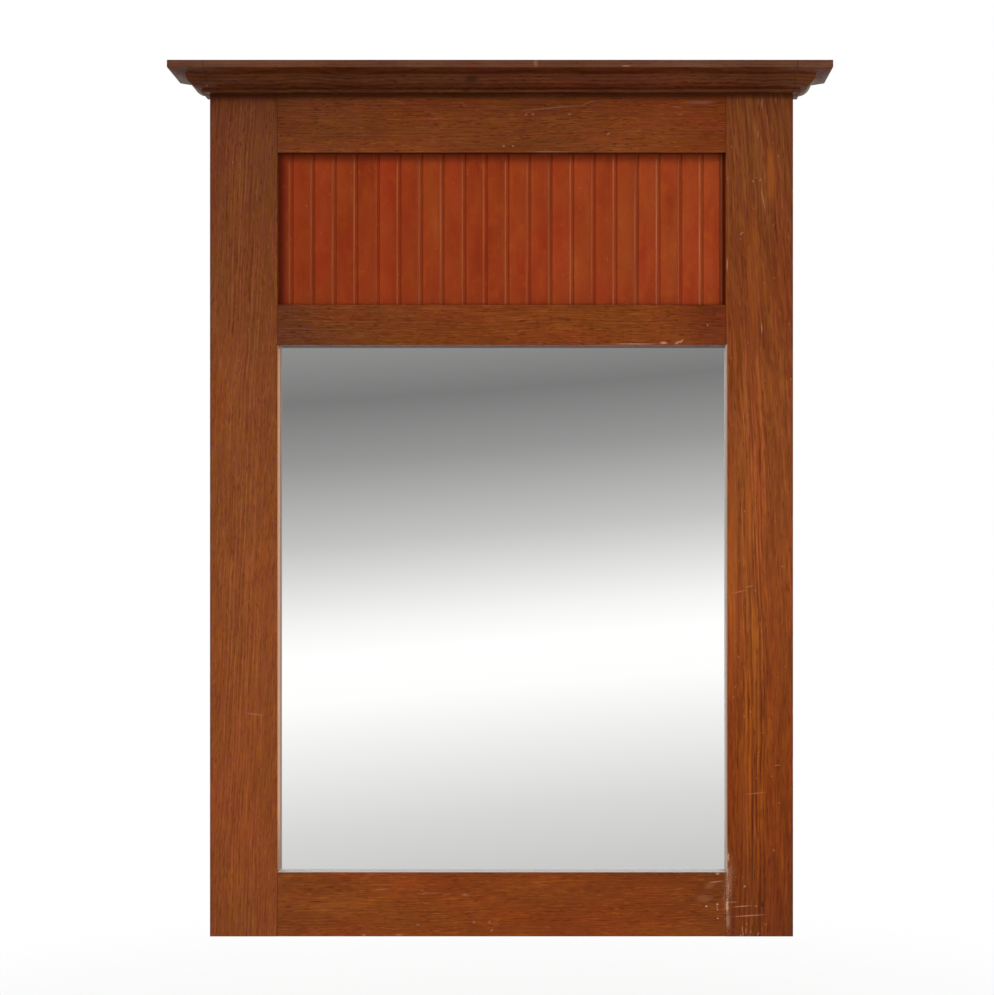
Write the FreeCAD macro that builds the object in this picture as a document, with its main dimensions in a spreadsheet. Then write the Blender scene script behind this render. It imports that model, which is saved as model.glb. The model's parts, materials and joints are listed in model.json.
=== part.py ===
import FreeCAD, Part
import math
import os

import Sketcher

# Wall mirror: two uprights, three rails, a mitred crown, a panel of beaded boards over a plain
# looking glass, and two ring hangers on the back.
# Millimetres. +X is right as seen from the front, +Y points at the wall, +Z is up. The origin lies on
# the wall, midway between the two hooks that carry the mirror, at the height where the rings bear.

# Each row is the size's name, its value and what it measures.
SIZES = (
    ("frame_thickness", 25.0, "uprights and rails, front to back"),
    ("stile_width", 88.9, "width of an upright"),
    ("opening_width", 592.0, "clear width between the uprights"),
    ("bottom_rail_height", 85.0, "height of the bottom rail"),
    ("mirror_opening_height", 696.0, "clear height of the glass opening"),
    ("middle_rail_height", 53.0, "height of the rail between glass and panel"),
    ("panel_opening_height", 201.0, "clear height of the boarded opening"),
    ("top_rail_show", 77.0, "height of top rail seen under the crown"),
    ("arris_radius", 0.6, "rounding of the handled front edges"),
    ("overrun", 1.0, "how far a cut runs past the face it breaks through"),
    ("rabbet_width", 10.0, "how far the rear rabbet reaches behind the opening's edge"),
    ("lip_thickness", 10.5, "wood in front of the rear rabbet"),
    ("tenon_length", 32.0, "how far a tenon enters the upright"),
    ("tenon_thickness", 9.0, "tenon, front to back"),
    ("tenon_setback", 8.0, "front of the frame to the front of the tenon"),
    ("tenon_shoulder", 5.0, "tenon's edge to the rabbet beside it"),
    ("tenon_end_shoulder", 20.0, "tenon's edge to the end of the upright"),
    ("glue_gap", 0.1, "room for glue on each side of a tenon"),
    ("mortise_relief", 1.0, "room past the tenon's end"),
    ("crown_height", 31.0, "crown moulding, bottom to top"),
    ("crown_projection", 45.3, "how far the crown stands out from the frame"),
    ("crown_fillet_height", 9.5, "upright band along the top of the crown"),
    ("crown_foot_height", 4.0, "small band along the bottom of the crown"),
    ("crown_foot_projection", 8.6, "how far the bottom band stands out"),
    ("crown_quirk", 0.6, "step from the bottom band to the round above it"),
    ("ovolo_radius", 17.6, "large round of the crown"),
    ("cove_radius", 2.3, "small hollow between the round and the soffit"),
    ("board_thickness", 9.5, "board, front to back"),
    ("first_joint", 13.2, "left edge of the opening to the first joint between boards"),
    ("last_joint", 5.8, "last joint to the right edge of the opening"),
    ("joint_gap", 0.3, "gap that shows between two boards"),
    ("bead_width", 5.2, "width of a bead between its quirks"),
    ("bead_drop", 0.15, "top of a bead below the board's face"),
    ("bead_quirk_width", 1.3, "width of the notch beside a bead"),
    ("bead_quirk_depth", 1.7, "depth of the notch beside a bead"),
    ("tongue_length", 5.0, "how far a tongue stands out"),
    ("tongue_thickness", 2.4, "tongue, front to back"),
    ("tongue_setback", 3.8, "board's face to the front of the tongue"),
    ("tongue_fit", 0.1, "room round a tongue in its groove"),
    ("board_edge_gap", 1.0, "room round the boards in their rabbet"),
    ("pane_thickness", 4.0, "looking glass"),
    ("pane_gap", 1.5, "room round the glass in its rabbet"),
    ("pane_seam", 0.5, "ground edge of the glass"),
    ("backing_thickness", 4.0, "board behind the glass"),
    ("strip_width", 13.0, "glazing strip across its face"),
    ("strip_setback", 0.5, "back of a strip below the back of the frame"),
    ("strip_bevel", 2.5, "bevel along the strip's inner back edge"),
    ("strip_end_gap", 0.3, "room at the ends of the short strips"),
    ("brad_radius", 0.7, "brads and board pins"),
    ("brad_head_radius", 1.3, "head of a brad or pin"),
    ("brad_head_height", 0.7, "thickness of that head"),
    ("brad_length", 24.0, "brad in a glazing strip, under its head"),
    ("pin_length", 16.0, "pin in a board, under its head"),
    ("screw_radius", 2.0, "shank of every screw"),
    ("screw_fit", 0.1, "room round a shank in its hole"),
    ("crown_screw_head_radius", 4.0, "flat countersunk head"),
    ("crown_screw_length", 45.0, "crown screw from face of head to tip"),
    ("crown_screw_height", 24.0, "bottom of the crown to the screws in it"),
    ("hook_drop", 150.0, "top of the frame to the wall hooks"),
    ("strap_thickness", 1.2, "steel of the hanger strap"),
    ("strap_width", 16.0, "width of the hanger strap"),
    ("strap_length", 58.0, "knuckle's axis to the strap's lower end"),
    ("strap_end_radius", 6.5, "rounding of the strap's lower corners"),
    ("strap_joggle", 0.8, "step that lifts the knuckle off the wood"),
    ("joggle_top", 5.0, "knuckle's axis down to the start of the step"),
    ("joggle_height", 4.0, "height of the step"),
    ("knuckle_fit", 0.07, "room round the ring's bar in the knuckle"),
    ("upper_hole_drop", 33.0, "knuckle's axis to the strap's upper screw"),
    ("hole_spacing", 16.0, "upper screw to lower screw"),
    ("strap_hole_radius", 2.3, "screw hole in the strap"),
    ("hanger_screw_length", 18.0, "hanger screw under its head"),
    ("hanger_head_radius", 3.8, "round head of a hanger screw"),
    ("hanger_head_height", 2.2, "height of that head"),
    ("hanger_head_crown", 0.8, "rounding of that head"),
    ("ring_wire_radius", 1.25, "wire of the ring"),
    ("ring_inner_width", 20.0, "clear width inside the ring"),
    ("ring_inner_reach", 21.0, "bar's axis to the inside of the ring's far end"),
    ("ring_corner_radius", 3.0, "bend of the wire at the ends of the bar"),
    ("bumper_thickness", 6.0, "bumper, and so the frame's distance from the wall"),
    ("bumper_radius", 9.0, "radius of a bumper"),
    ("bumper_chamfer", 0.8, "bevel round the bumper's wall side"),
    ("bumper_height", 40.0, "bottom of the frame to the middle of a bumper"),
)

# What stays the same at every size: a count, angles, and places as shares of a length.
WHOLE_BOARDS = 10
OVOLO_SWEEP = math.radians(75)
SOFFIT_PITCH = math.radians(9)
CURL_END = math.radians(-110)
SIDE_BRAD_SHARES = (0.06, 0.28, 0.5, 0.72, 0.94)
END_BRAD_SHARES = (0.1, 0.5, 0.9)
RAIL_SCREW_SHARES = (0.14, 0.5, 0.86)
BRAD_LEVEL_SHARE = 1 / 3
PIN_SHARE = 0.5
TURN = {"front": 180, "left": 90, "right": -90}
TOLERANCE = 1e-6

SHEET = "Sizes"
doc = FreeCAD.newDocument("WallMirror")
sheet = doc.addObject("Spreadsheet::Sheet", SHEET)
pieces = []


class Length:
    """A length that carries its value and the sheet formula that gives it."""

    def __init__(self, value, formula):
        self.value = value
        self.formula = formula

    def __add__(self, other):
        return Length(self.value + other.value, f"({self.formula} + {other.formula})")

    def __sub__(self, other):
        return Length(self.value - other.value, f"({self.formula} - {other.formula})")

    def __mul__(self, factor):
        return Length(self.value * factor, f"({self.formula} * {factor:.9f})")

    def __truediv__(self, factor):
        return Length(self.value / factor, f"({self.formula} / {factor:.9f})")

    def __neg__(self):
        return Length(-self.value, f"(0 - {self.formula})")


def fill_sheet():
    """Write every driving size to the sheet and return them by name."""
    named = {}
    for row, (name, value, meaning) in enumerate(SIZES, start=1):
        sheet.set(f"A{row}", name)
        sheet.set(f"B{row}", str(value))
        sheet.set(f"C{row}", meaning)
        sheet.setAlias(f"B{row}", name)
        named[name] = Length(value, f"{SHEET}.{name}")
    doc.recompute()
    return named


def bind(thing, prop, length):
    """Tie a property to its formula in the sheet."""
    thing.setExpression(prop, length.formula)


def place(thing, across, back, up):
    """Tie where an object's own origin stands."""
    bind(thing, ".Placement.Base.x", across)
    bind(thing, ".Placement.Base.y", back)
    bind(thing, ".Placement.Base.z", up)


def keep(thing, label):
    """Name a finished sub-part and list it for writing."""
    thing.Label = label
    pieces.append(thing)
    return thing


def new_body(label):
    """An empty body for one solid piece."""
    return keep(doc.addObject("PartDesign::Body", label), label)


def new_sketch(body, role, offset):
    """A sketch on one of the body's own planes, moved off it along the plane's normal."""
    sketch = body.newObject("Sketcher::SketchObject", "outline")
    plane = next(item for item in body.Origin.OriginFeatures if item.Role == role)
    sketch.AttachmentSupport = [(plane, "")]
    sketch.MapMode = "FlatFace"
    bind(sketch, ".AttachmentOffset.Base.z", offset)
    return sketch


def hold_point(sketch, edge, end, across, up):
    """Fix one end of an edge by its distances from the sketch's origin."""
    for kind, axis, length in (("DistanceX", -2, across), ("DistanceY", -1, up)):
        if length.value == 0:
            sketch.addConstraint(Sketcher.Constraint("PointOnObject", edge, end, axis))
            continue
        index = sketch.addConstraint(Sketcher.Constraint(kind, -1, 1, edge, end, length.value))
        sketch.setExpression(f"Constraints[{index}]", length.formula)


def arc_between(start, finish, radius, turn, large):
    """The arc from start to finish; turn is 1 when it runs anticlockwise and -1 when clockwise."""
    chord = finish.sub(start)
    reach = math.sqrt(max(radius ** 2 - (chord.Length / 2) ** 2, 0))
    normal = FreeCAD.Vector(-chord.y, chord.x, 0).normalize()
    side = -turn if large else turn
    centre = (start + finish) * 0.5 + normal * (reach * side)
    circle = Part.Circle(centre, FreeCAD.Vector(0, 0, 1), radius)
    first, last = (start, finish) if turn > 0 else (finish, start)
    return Part.ArcOfCircle(circle, circle.parameter(first), circle.parameter(last))


def draw_outline(sketch, corners, arcs=None):
    """A closed outline through the corners. arcs gives, by corner, the round edge that leaves it."""
    arcs = arcs or {}
    spots = [FreeCAD.Vector(across.value, up.value, 0) for across, up in corners]
    ends = []
    for index, spot in enumerate(spots):
        following = spots[(index + 1) % len(spots)]
        if index in arcs:
            radius, turn, large = arcs[index]
            sketch.addGeometry(arc_between(spot, following, radius.value, turn, large))
            ends.append((1, 2) if turn > 0 else (2, 1))
        else:
            sketch.addGeometry(Part.LineSegment(spot, following))
            ends.append((1, 2))
    for index in range(len(spots)):
        following = (index + 1) % len(spots)
        joint = Sketcher.Constraint("Coincident", index, ends[index][1], following, ends[following][0])
        sketch.addConstraint(joint)
    for index, (across, up) in enumerate(corners):
        hold_point(sketch, index, ends[index][0], across, up)
    for index, (radius, _turn, _large) in arcs.items():
        number = sketch.addConstraint(Sketcher.Constraint("Radius", index, radius.value))
        sketch.setExpression(f"Constraints[{number}]", radius.formula)


def draw_circle(sketch, across, up, radius):
    """One circle, held by its centre and radius."""
    centre = FreeCAD.Vector(across.value, up.value, 0)
    index = sketch.addGeometry(Part.Circle(centre, FreeCAD.Vector(0, 0, 1), radius.value))
    hold_point(sketch, index, 3, across, up)
    number = sketch.addConstraint(Sketcher.Constraint("Radius", index, radius.value))
    sketch.setExpression(f"Constraints[{number}]", radius.formula)


def rectangle(left, low, width, height):
    """The four corners of an upright rectangle."""
    return [(left, low), (left + width, low), (left + width, low + height), (left, low + height)]


def add_feature(body, kind, sketch, length, towards_normal):
    """Pad or pocket a sketch by a length, along its normal or against it."""
    feature = body.newObject(f"PartDesign::{kind}", kind.lower())
    feature.Profile = sketch
    bind(feature, "Length", length)
    feature.Reversed = towards_normal == (kind == "Pocket")
    return feature


def add_block(body, corner, size):
    """Pad a square-cornered block from its lowest corner and its three sizes."""
    sketch = new_sketch(body, "XY_Plane", corner[2])
    draw_outline(sketch, rectangle(corner[0], corner[1], size[0], size[1]))
    return add_feature(body, "Pad", sketch, size[2], True)


def cut_block(body, corner, size):
    """Cut a square-cornered recess from its lowest corner and its three sizes."""
    sketch = new_sketch(body, "XY_Plane", corner[2])
    draw_outline(sketch, rectangle(corner[0], corner[1], size[0], size[1]))
    return add_feature(body, "Pocket", sketch, size[2], True)


def cut_holes(body, spots, face, depth, radius, forwards):
    """Drill round holes along Y from the plane at face; forwards drills towards the front."""
    for across, up in spots:
        sketch = new_sketch(body, "XZ_Plane", -face)
        draw_circle(sketch, across, up, radius)
        add_feature(body, "Pocket", sketch, depth, forwards)


def soften(body, kind, prop, size, wanted):
    """Fillet or chamfer the edges of the body's last feature that pass the test."""
    doc.recompute()
    base = body.Tip
    names = [f"Edge{number}" for number, edge in enumerate(base.Shape.Edges, start=1) if wanted(edge)]
    if not names:
        raise RuntimeError(f"{body.Label}: no edge to soften")
    feature = body.newObject(f"PartDesign::{kind}", kind.lower())
    feature.Base = (base, names)
    bind(feature, prop, size)
    return feature


def runs_along(edge, axis):
    """Whether a straight edge lies along the axis, 0, 1 or 2."""
    if edge.Curve.TypeId != "Part::GeomLine":
        return False
    return abs(abs(edge.Curve.Direction[axis]) - 1) < TOLERANCE


def lies_at(edge, axis, *levels):
    """Whether the edge's middle has one of the levels on the axis."""
    middle = edge.BoundBox.Center[axis]
    return any(abs(middle - level.value) < TOLERANCE for level in levels)


SIZE = fill_sheet()
ZERO = Length(0, "0")
OVERRUN = SIZE["overrun"]

# Levels above the bottom of the frame, and the planes that the pieces share.
MIRROR_LOW = SIZE["bottom_rail_height"]
MIRROR_HIGH = MIRROR_LOW + SIZE["mirror_opening_height"]
PANEL_LOW = MIRROR_HIGH + SIZE["middle_rail_height"]
PANEL_HIGH = PANEL_LOW + SIZE["panel_opening_height"]
CROWN_LOW = PANEL_HIGH + SIZE["top_rail_show"]
FRAME_TOP = CROWN_LOW + SIZE["crown_height"]
FOOT_Z = SIZE["hook_drop"] - FRAME_TOP
BACK_Y = -SIZE["bumper_thickness"]
FRONT_Y = BACK_Y - SIZE["frame_thickness"]
INNER_X = SIZE["opening_width"] / 2
OUTER_X = INNER_X + SIZE["stile_width"]
STILE_X = INNER_X + SIZE["stile_width"] / 2
RABBET_DEPTH = SIZE["frame_thickness"] - SIZE["lip_thickness"]
STRIP_ROOM = RABBET_DEPTH - SIZE["pane_thickness"] - SIZE["backing_thickness"]
BOARD_ROOM = SIZE["rabbet_width"] - SIZE["board_edge_gap"]
BOARD_COVER = (SIZE["opening_width"] - SIZE["first_joint"] - SIZE["last_joint"]) / WHOLE_BOARDS

# Each rail: its level, its height, how far its tenon stays from its lower and its upper edge, and
# whether the glass or the panel seats in its lower or its upper edge.
BESIDE_RABBET = SIZE["rabbet_width"] + SIZE["tenon_shoulder"]
BESIDE_END = SIZE["tenon_end_shoulder"]
TOP_RAIL_HEIGHT = SIZE["top_rail_show"] + SIZE["crown_height"]
RAILS = {
    "bottom_rail": (ZERO, SIZE["bottom_rail_height"], BESIDE_END, BESIDE_RABBET, False, True),
    "middle_rail": (MIRROR_HIGH, SIZE["middle_rail_height"], BESIDE_RABBET, BESIDE_RABBET, True, True),
    "top_rail": (PANEL_HIGH, TOP_RAIL_HEIGHT, BESIDE_RABBET, BESIDE_END, True, False),
}

CROWN_SCREW_Z = CROWN_LOW + SIZE["crown_screw_height"]
CROWN_SCREW_IN_FRAME = SIZE["frame_thickness"] + OVERRUN
CROWN_SCREW_IN_CROWN = SIZE["crown_screw_length"] - SIZE["frame_thickness"]
SCREW_HOLE = SIZE["screw_radius"] + SIZE["screw_fit"]
COUNTERSINK = SIZE["crown_screw_head_radius"] - SCREW_HOLE

AXIS_Z = -SIZE["ring_inner_reach"]
KNUCKLE_BORE = SIZE["ring_wire_radius"] + SIZE["knuckle_fit"]
AXIS_OFF_WOOD = SIZE["strap_joggle"] + SIZE["strap_thickness"] + KNUCKLE_BORE
HANGER_HOLES = (SIZE["upper_hole_drop"], SIZE["upper_hole_drop"] + SIZE["hole_spacing"])


def countersink(body, face):
    """Open the mouths of the screw holes in the body's rear face to seat flat heads."""
    soften(body, "Chamfer", "Size", COUNTERSINK,
           lambda edge: edge.Curve.TypeId == "Part::GeomCircle" and lies_at(edge, 1, face))


def make_stile(label, inner_on_right):
    """An upright with its mortises, its two stopped rabbets, its screw holes and its soft edges."""
    body = new_body(label)
    width, thick = SIZE["stile_width"], SIZE["frame_thickness"]
    place(body, -OUTER_X if inner_on_right else INNER_X, FRONT_Y, FOOT_Z)
    add_block(body, (ZERO, ZERO, ZERO), (width, thick, FRAME_TOP))

    def start_of(depth):
        return width - depth if inner_on_right else -OVERRUN

    for low, high in ((MIRROR_LOW, MIRROR_HIGH), (PANEL_LOW, PANEL_HIGH)):
        reach = SIZE["rabbet_width"]
        corner = (start_of(reach), SIZE["lip_thickness"], low - reach)
        cut_block(body, corner, (reach + OVERRUN, RABBET_DEPTH + OVERRUN, high - low + reach * 2))
    depth = SIZE["tenon_length"] + SIZE["mortise_relief"]
    for level, height, under, over, _lower, _upper in RAILS.values():
        corner = (start_of(depth), SIZE["tenon_setback"] - SIZE["glue_gap"], level + under - SIZE["glue_gap"])
        tall = height - under - over + SIZE["glue_gap"] * 2
        cut_block(body, corner, (depth + OVERRUN, SIZE["tenon_thickness"] + SIZE["glue_gap"] * 2, tall))
    middle = width / 2
    cut_holes(body, [(middle, CROWN_SCREW_Z)], thick, CROWN_SCREW_IN_FRAME, SCREW_HOLE, True)
    countersink(body, thick)
    spots = [(middle, AXIS_Z - FOOT_Z - drop) for drop in HANGER_HOLES]
    cut_holes(body, spots, thick, SIZE["hanger_screw_length"], SCREW_HOLE, True)
    soften(body, "Fillet", "Radius", SIZE["arris_radius"],
           lambda edge: runs_along(edge, 2) and lies_at(edge, 1, ZERO) and lies_at(edge, 0, ZERO, width))


def make_rail(label):
    """A rail with a tenon at each end and a full-length rabbet behind each edge that seats something."""
    level, height, under, over, lower_rabbet, upper_rabbet = RAILS[label]
    body = new_body(label)
    length, thick = SIZE["opening_width"], SIZE["frame_thickness"]
    place(body, -INNER_X, FRONT_Y, FOOT_Z + level)
    add_block(body, (ZERO, ZERO, ZERO), (length, thick, height))
    tenon = (length + SIZE["tenon_length"] * 2, SIZE["tenon_thickness"], height - under - over)
    add_block(body, (-SIZE["tenon_length"], SIZE["tenon_setback"], under), tenon)
    recess = (length, RABBET_DEPTH + OVERRUN, SIZE["rabbet_width"] + OVERRUN)
    handled = []
    if lower_rabbet:
        cut_block(body, (ZERO, SIZE["lip_thickness"], -OVERRUN), recess)
        handled.append(ZERO)
    if upper_rabbet:
        cut_block(body, (ZERO, SIZE["lip_thickness"], height - SIZE["rabbet_width"]), recess)
        handled.append(height)
    if label == "bottom_rail":
        handled.append(ZERO)
    if label == "top_rail":
        spots = [(length * share, CROWN_SCREW_Z - PANEL_HIGH) for share in RAIL_SCREW_SHARES]
        cut_holes(body, spots, thick, CROWN_SCREW_IN_FRAME, SCREW_HOLE, True)
        countersink(body, thick)
    soften(body, "Fillet", "Radius", SIZE["arris_radius"],
           lambda edge: runs_along(edge, 0) and lies_at(edge, 1, ZERO) and lies_at(edge, 2, *handled))


def crown_profile():
    """The crown's section: across is outwards from the frame and up is above the crown's bottom."""
    foot, rise = SIZE["crown_foot_projection"], SIZE["crown_foot_height"]
    start = foot + SIZE["crown_quirk"]
    radius, hollow = SIZE["ovolo_radius"], SIZE["cove_radius"]
    belly_out = start + radius * math.sin(OVOLO_SWEEP)
    belly_up = rise + radius * (1 - math.cos(OVOLO_SWEEP))
    soffit_out = belly_out + hollow * (math.sin(OVOLO_SWEEP) - math.sin(SOFFIT_PITCH))
    soffit_up = belly_up + hollow * (math.cos(SOFFIT_PITCH) - math.cos(OVOLO_SWEEP))
    brim, top = SIZE["crown_projection"], SIZE["crown_height"]
    corners = [(ZERO, ZERO), (foot, ZERO), (foot, rise), (start, rise), (belly_out, belly_up),
               (soffit_out, soffit_up), (brim, top - SIZE["crown_fillet_height"]), (brim, top), (ZERO, top)]
    return corners, {3: (radius, 1, False), 4: (hollow, -1, False)}


def make_crown(label, side, run, mitre_start, mitre_end):
    """A length of crown. Its own X runs along the frame and its own Y points outwards."""
    body = new_body(label)
    brim = SIZE["crown_projection"]
    body.Placement.Rotation = FreeCAD.Rotation(FreeCAD.Vector(0, 0, 1), TURN[side])
    lead = brim if mitre_start else ZERO
    full = run + lead + (brim if mitre_end else ZERO)
    sketch = new_sketch(body, "YZ_Plane", -lead)
    draw_outline(sketch, *crown_profile())
    add_feature(body, "Pad", sketch, full, True)
    far = brim + OVERRUN
    if mitre_start:
        sketch = new_sketch(body, "XY_Plane", -OVERRUN)
        draw_outline(sketch, [(OVERRUN, -OVERRUN), (-far, far), (-far, -OVERRUN)])
        add_feature(body, "Pocket", sketch, SIZE["crown_height"] + OVERRUN * 2, True)
    if mitre_end:
        sketch = new_sketch(body, "XY_Plane", -OVERRUN)
        draw_outline(sketch, [(run - OVERRUN, -OVERRUN), (run + far, -OVERRUN), (run + far, far)])
        add_feature(body, "Pocket", sketch, SIZE["crown_height"] + OVERRUN * 2, True)
    return body


def make_crowns():
    """The front length and the two returns, with the front one drilled for the screws behind it."""
    low = FOOT_Z + CROWN_LOW
    front = make_crown("crown_front", "front", OUTER_X * 2, True, True)
    place(front, OUTER_X, FRONT_Y, low)
    rail_spots = [(SIZE["stile_width"] + SIZE["opening_width"] * share) for share in RAIL_SCREW_SHARES]
    stile_spots = [SIZE["stile_width"] / 2, OUTER_X * 2 - SIZE["stile_width"] / 2]
    spots = [(across, SIZE["crown_screw_height"]) for across in rail_spots + stile_spots]
    cut_holes(front, spots, ZERO, CROWN_SCREW_IN_CROWN, SCREW_HOLE, False)
    left = make_crown("crown_return_left", "left", SIZE["frame_thickness"], True, False)
    place(left, -OUTER_X, FRONT_Y, low)
    right = make_crown("crown_return_right", "right", SIZE["frame_thickness"], False, True)
    place(right, OUTER_X, BACK_Y, low)


def cut_quirks(body, centre, height):
    """Cut the two notches and the round between them that make one bead."""
    half, notch = SIZE["bead_width"] / 2, SIZE["bead_quirk_width"]
    depth, sag = SIZE["bead_quirk_depth"], SIZE["bead_quirk_depth"] - SIZE["bead_drop"]
    radius = half * ((half.value / sag.value + sag.value / half.value) / 2)
    corners = [(centre - half - notch, -OVERRUN), (centre - half - notch, ZERO), (centre - half, depth),
               (centre + half, depth), (centre + half + notch, ZERO), (centre + half + notch, -OVERRUN)]
    sketch = new_sketch(body, "XY_Plane", ZERO)
    draw_outline(sketch, corners, {2: (radius, 1, False)})
    add_feature(body, "Pocket", sketch, height, True)


def make_board(label, left, right, tongue, groove):
    """One upright board between two places across the opening, with the joints it is asked for."""
    body = new_body(label)
    thick = SIZE["board_thickness"]
    height = SIZE["panel_opening_height"] + BOARD_ROOM * 2
    width = right - left - (SIZE["joint_gap"] if groove else ZERO)
    place(body, left - INNER_X, FRONT_Y + SIZE["lip_thickness"], FOOT_Z + PANEL_LOW - BOARD_ROOM)
    add_block(body, (ZERO, ZERO, ZERO), (width, thick, height))
    if tongue:
        reach = SIZE["tongue_length"]
        add_block(body, (-reach, SIZE["tongue_setback"], ZERO), (reach, SIZE["tongue_thickness"], height))
        cut_quirks(body, SIZE["bead_width"] / 2, height)
    if groove:
        fit = SIZE["tongue_fit"]
        depth = SIZE["tongue_length"] - SIZE["joint_gap"] + fit
        size = (depth + OVERRUN, SIZE["tongue_thickness"] + fit * 2, height)
        cut_block(body, (width - depth, SIZE["tongue_setback"] - fit, ZERO), size)
        notch = [(width - SIZE["bead_quirk_width"], ZERO), (width + OVERRUN, -OVERRUN),
                 (width + OVERRUN, SIZE["bead_quirk_depth"]), (width, SIZE["bead_quirk_depth"])]
        sketch = new_sketch(body, "XY_Plane", ZERO)
        draw_outline(sketch, notch)
        add_feature(body, "Pocket", sketch, height, True)
    if tongue and groove:
        cut_quirks(body, BOARD_COVER / 2 + SIZE["bead_width"] / 2, height)


def board_edges(beyond):
    """The boards' edges from the opening's left edge: a ripped board at each end, whole ones between.

    The two ripped boards end the given length beyond the opening.
    """
    joints = [SIZE["first_joint"] + BOARD_COVER * number for number in range(WHOLE_BOARDS + 1)]
    return [-beyond] + joints + [SIZE["opening_width"] + beyond]


def make_boards():
    """The row of boards that fills the panel, joint to joint."""
    edges = board_edges(BOARD_ROOM)
    last = len(edges) - 2
    for number in range(last + 1):
        label = f"bead_board_{number + 1:02d}"
        make_board(label, edges[number], edges[number + 1], number > 0, number < last)


def make_sheet(label, depth_before, thickness):
    """A plain sheet that fills the glass rabbet at the given depth behind the frame's front."""
    body = new_body(label)
    room = SIZE["rabbet_width"] - SIZE["pane_gap"]
    place(body, -INNER_X - room, FRONT_Y + depth_before, FOOT_Z + MIRROR_LOW - room)
    width = SIZE["opening_width"] + room * 2
    height = SIZE["mirror_opening_height"] + room * 2
    add_block(body, (ZERO, ZERO, ZERO), (width, thickness, height))
    return body


def make_glass():
    """The looking glass with its ground edges, and the backing board behind it."""
    pane = make_sheet("mirror_pane", SIZE["lip_thickness"], SIZE["pane_thickness"])
    soften(pane, "Chamfer", "Size", SIZE["pane_seam"], lambda edge: not runs_along(edge, 1))
    behind = SIZE["lip_thickness"] + SIZE["pane_thickness"]
    make_sheet("backing_board", behind, SIZE["backing_thickness"])


def make_strip(label, length, upright, corner, inner_edge):
    """A glazing strip from its lowest corner, bevelled along the back edge that faces the opening."""
    body = new_body(label)
    width = SIZE["strip_width"]
    depth = STRIP_ROOM - SIZE["strip_setback"]
    place(body, *corner)
    size = (width, depth, length) if upright else (length, depth, width)
    add_block(body, (ZERO, ZERO, ZERO), size)
    along, across = (2, 0) if upright else (0, 2)

    def faces_opening(edge):
        return runs_along(edge, along) and lies_at(edge, 1, depth) and lies_at(edge, across, inner_edge)

    soften(body, "Chamfer", "Size", SIZE["strip_bevel"], faces_opening)


def make_pin(name, length, direction, across, back, up):
    """A headed pin whose head bears at the given place and whose shank runs along the direction."""
    turn = FreeCAD.Rotation(FreeCAD.Vector(0, 0, 1), FreeCAD.Vector(*direction))
    shank = doc.addObject("Part::Cylinder", f"{name}_shank")
    bind(shank, "Radius", SIZE["brad_radius"])
    bind(shank, "Height", length)
    head = doc.addObject("Part::Cylinder", f"{name}_head")
    bind(head, "Radius", SIZE["brad_head_radius"])
    bind(head, "Height", SIZE["brad_head_height"])
    bind(head, ".Placement.Base.z", -SIZE["brad_head_height"])
    pin = doc.addObject("Part::Fuse", name)
    pin.Base = head
    pin.Tool = shank
    pin.Placement.Rotation = turn
    place(pin, across, back, up)
    return pin


def gather(label, members):
    """Alike fasteners as one sub-part of separate solids."""
    group = doc.addObject("Part::Compound", label)
    group.Links = members
    return keep(group, label)


def make_strips():
    """Four glazing strips round the glass rabbet, and the brads driven through them into the frame."""
    width, reach, gap = SIZE["strip_width"], SIZE["rabbet_width"], SIZE["strip_end_gap"]
    side = INNER_X + reach
    low, high = FOOT_Z + MIRROR_LOW - reach, FOOT_Z + MIRROR_HIGH + reach
    tall = high - low
    front = BACK_Y - STRIP_ROOM
    across = (side - width - gap) * 2
    start = -side + width + gap
    make_strip("glazing_strip_left", tall, True, (-side, front, low), width)
    make_strip("glazing_strip_right", tall, True, (side - width, front, low), ZERO)
    make_strip("glazing_strip_bottom", across, False, (start, front, low), width)
    make_strip("glazing_strip_top", across, False, (start, front, high - width), ZERO)
    level = front + STRIP_ROOM * BRAD_LEVEL_SHARE
    length = SIZE["brad_length"]
    brads = []
    for share in SIDE_BRAD_SHARES:
        up = low + tall * share
        brads.append(make_pin("side_brad", length, (-1, 0, 0), -side + width, level, up))
        brads.append(make_pin("side_brad", length, (1, 0, 0), side - width, level, up))
    for share in END_BRAD_SHARES:
        spot = start + across * share
        brads.append(make_pin("end_brad", length, (0, 0, -1), spot, level, low + width))
        brads.append(make_pin("end_brad", length, (0, 0, 1), spot, level, high - width))
    gather("strip_brads", brads)


def make_board_pins():
    """Two pins in the part of each board that shows, driven from behind into the lips of the rails."""
    edges = board_edges(ZERO)
    back = FRONT_Y + SIZE["lip_thickness"] + SIZE["board_thickness"]
    pins = []
    for left, right in zip(edges, edges[1:]):
        across = left + (right - left) * PIN_SHARE - INNER_X
        for up in (FOOT_Z + PANEL_LOW - BOARD_ROOM / 2, FOOT_Z + PANEL_HIGH + BOARD_ROOM / 2):
            pins.append(make_pin("board_pin", SIZE["pin_length"], (0, -1, 0), across, back, up))
    gather("board_pins", pins)


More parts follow.
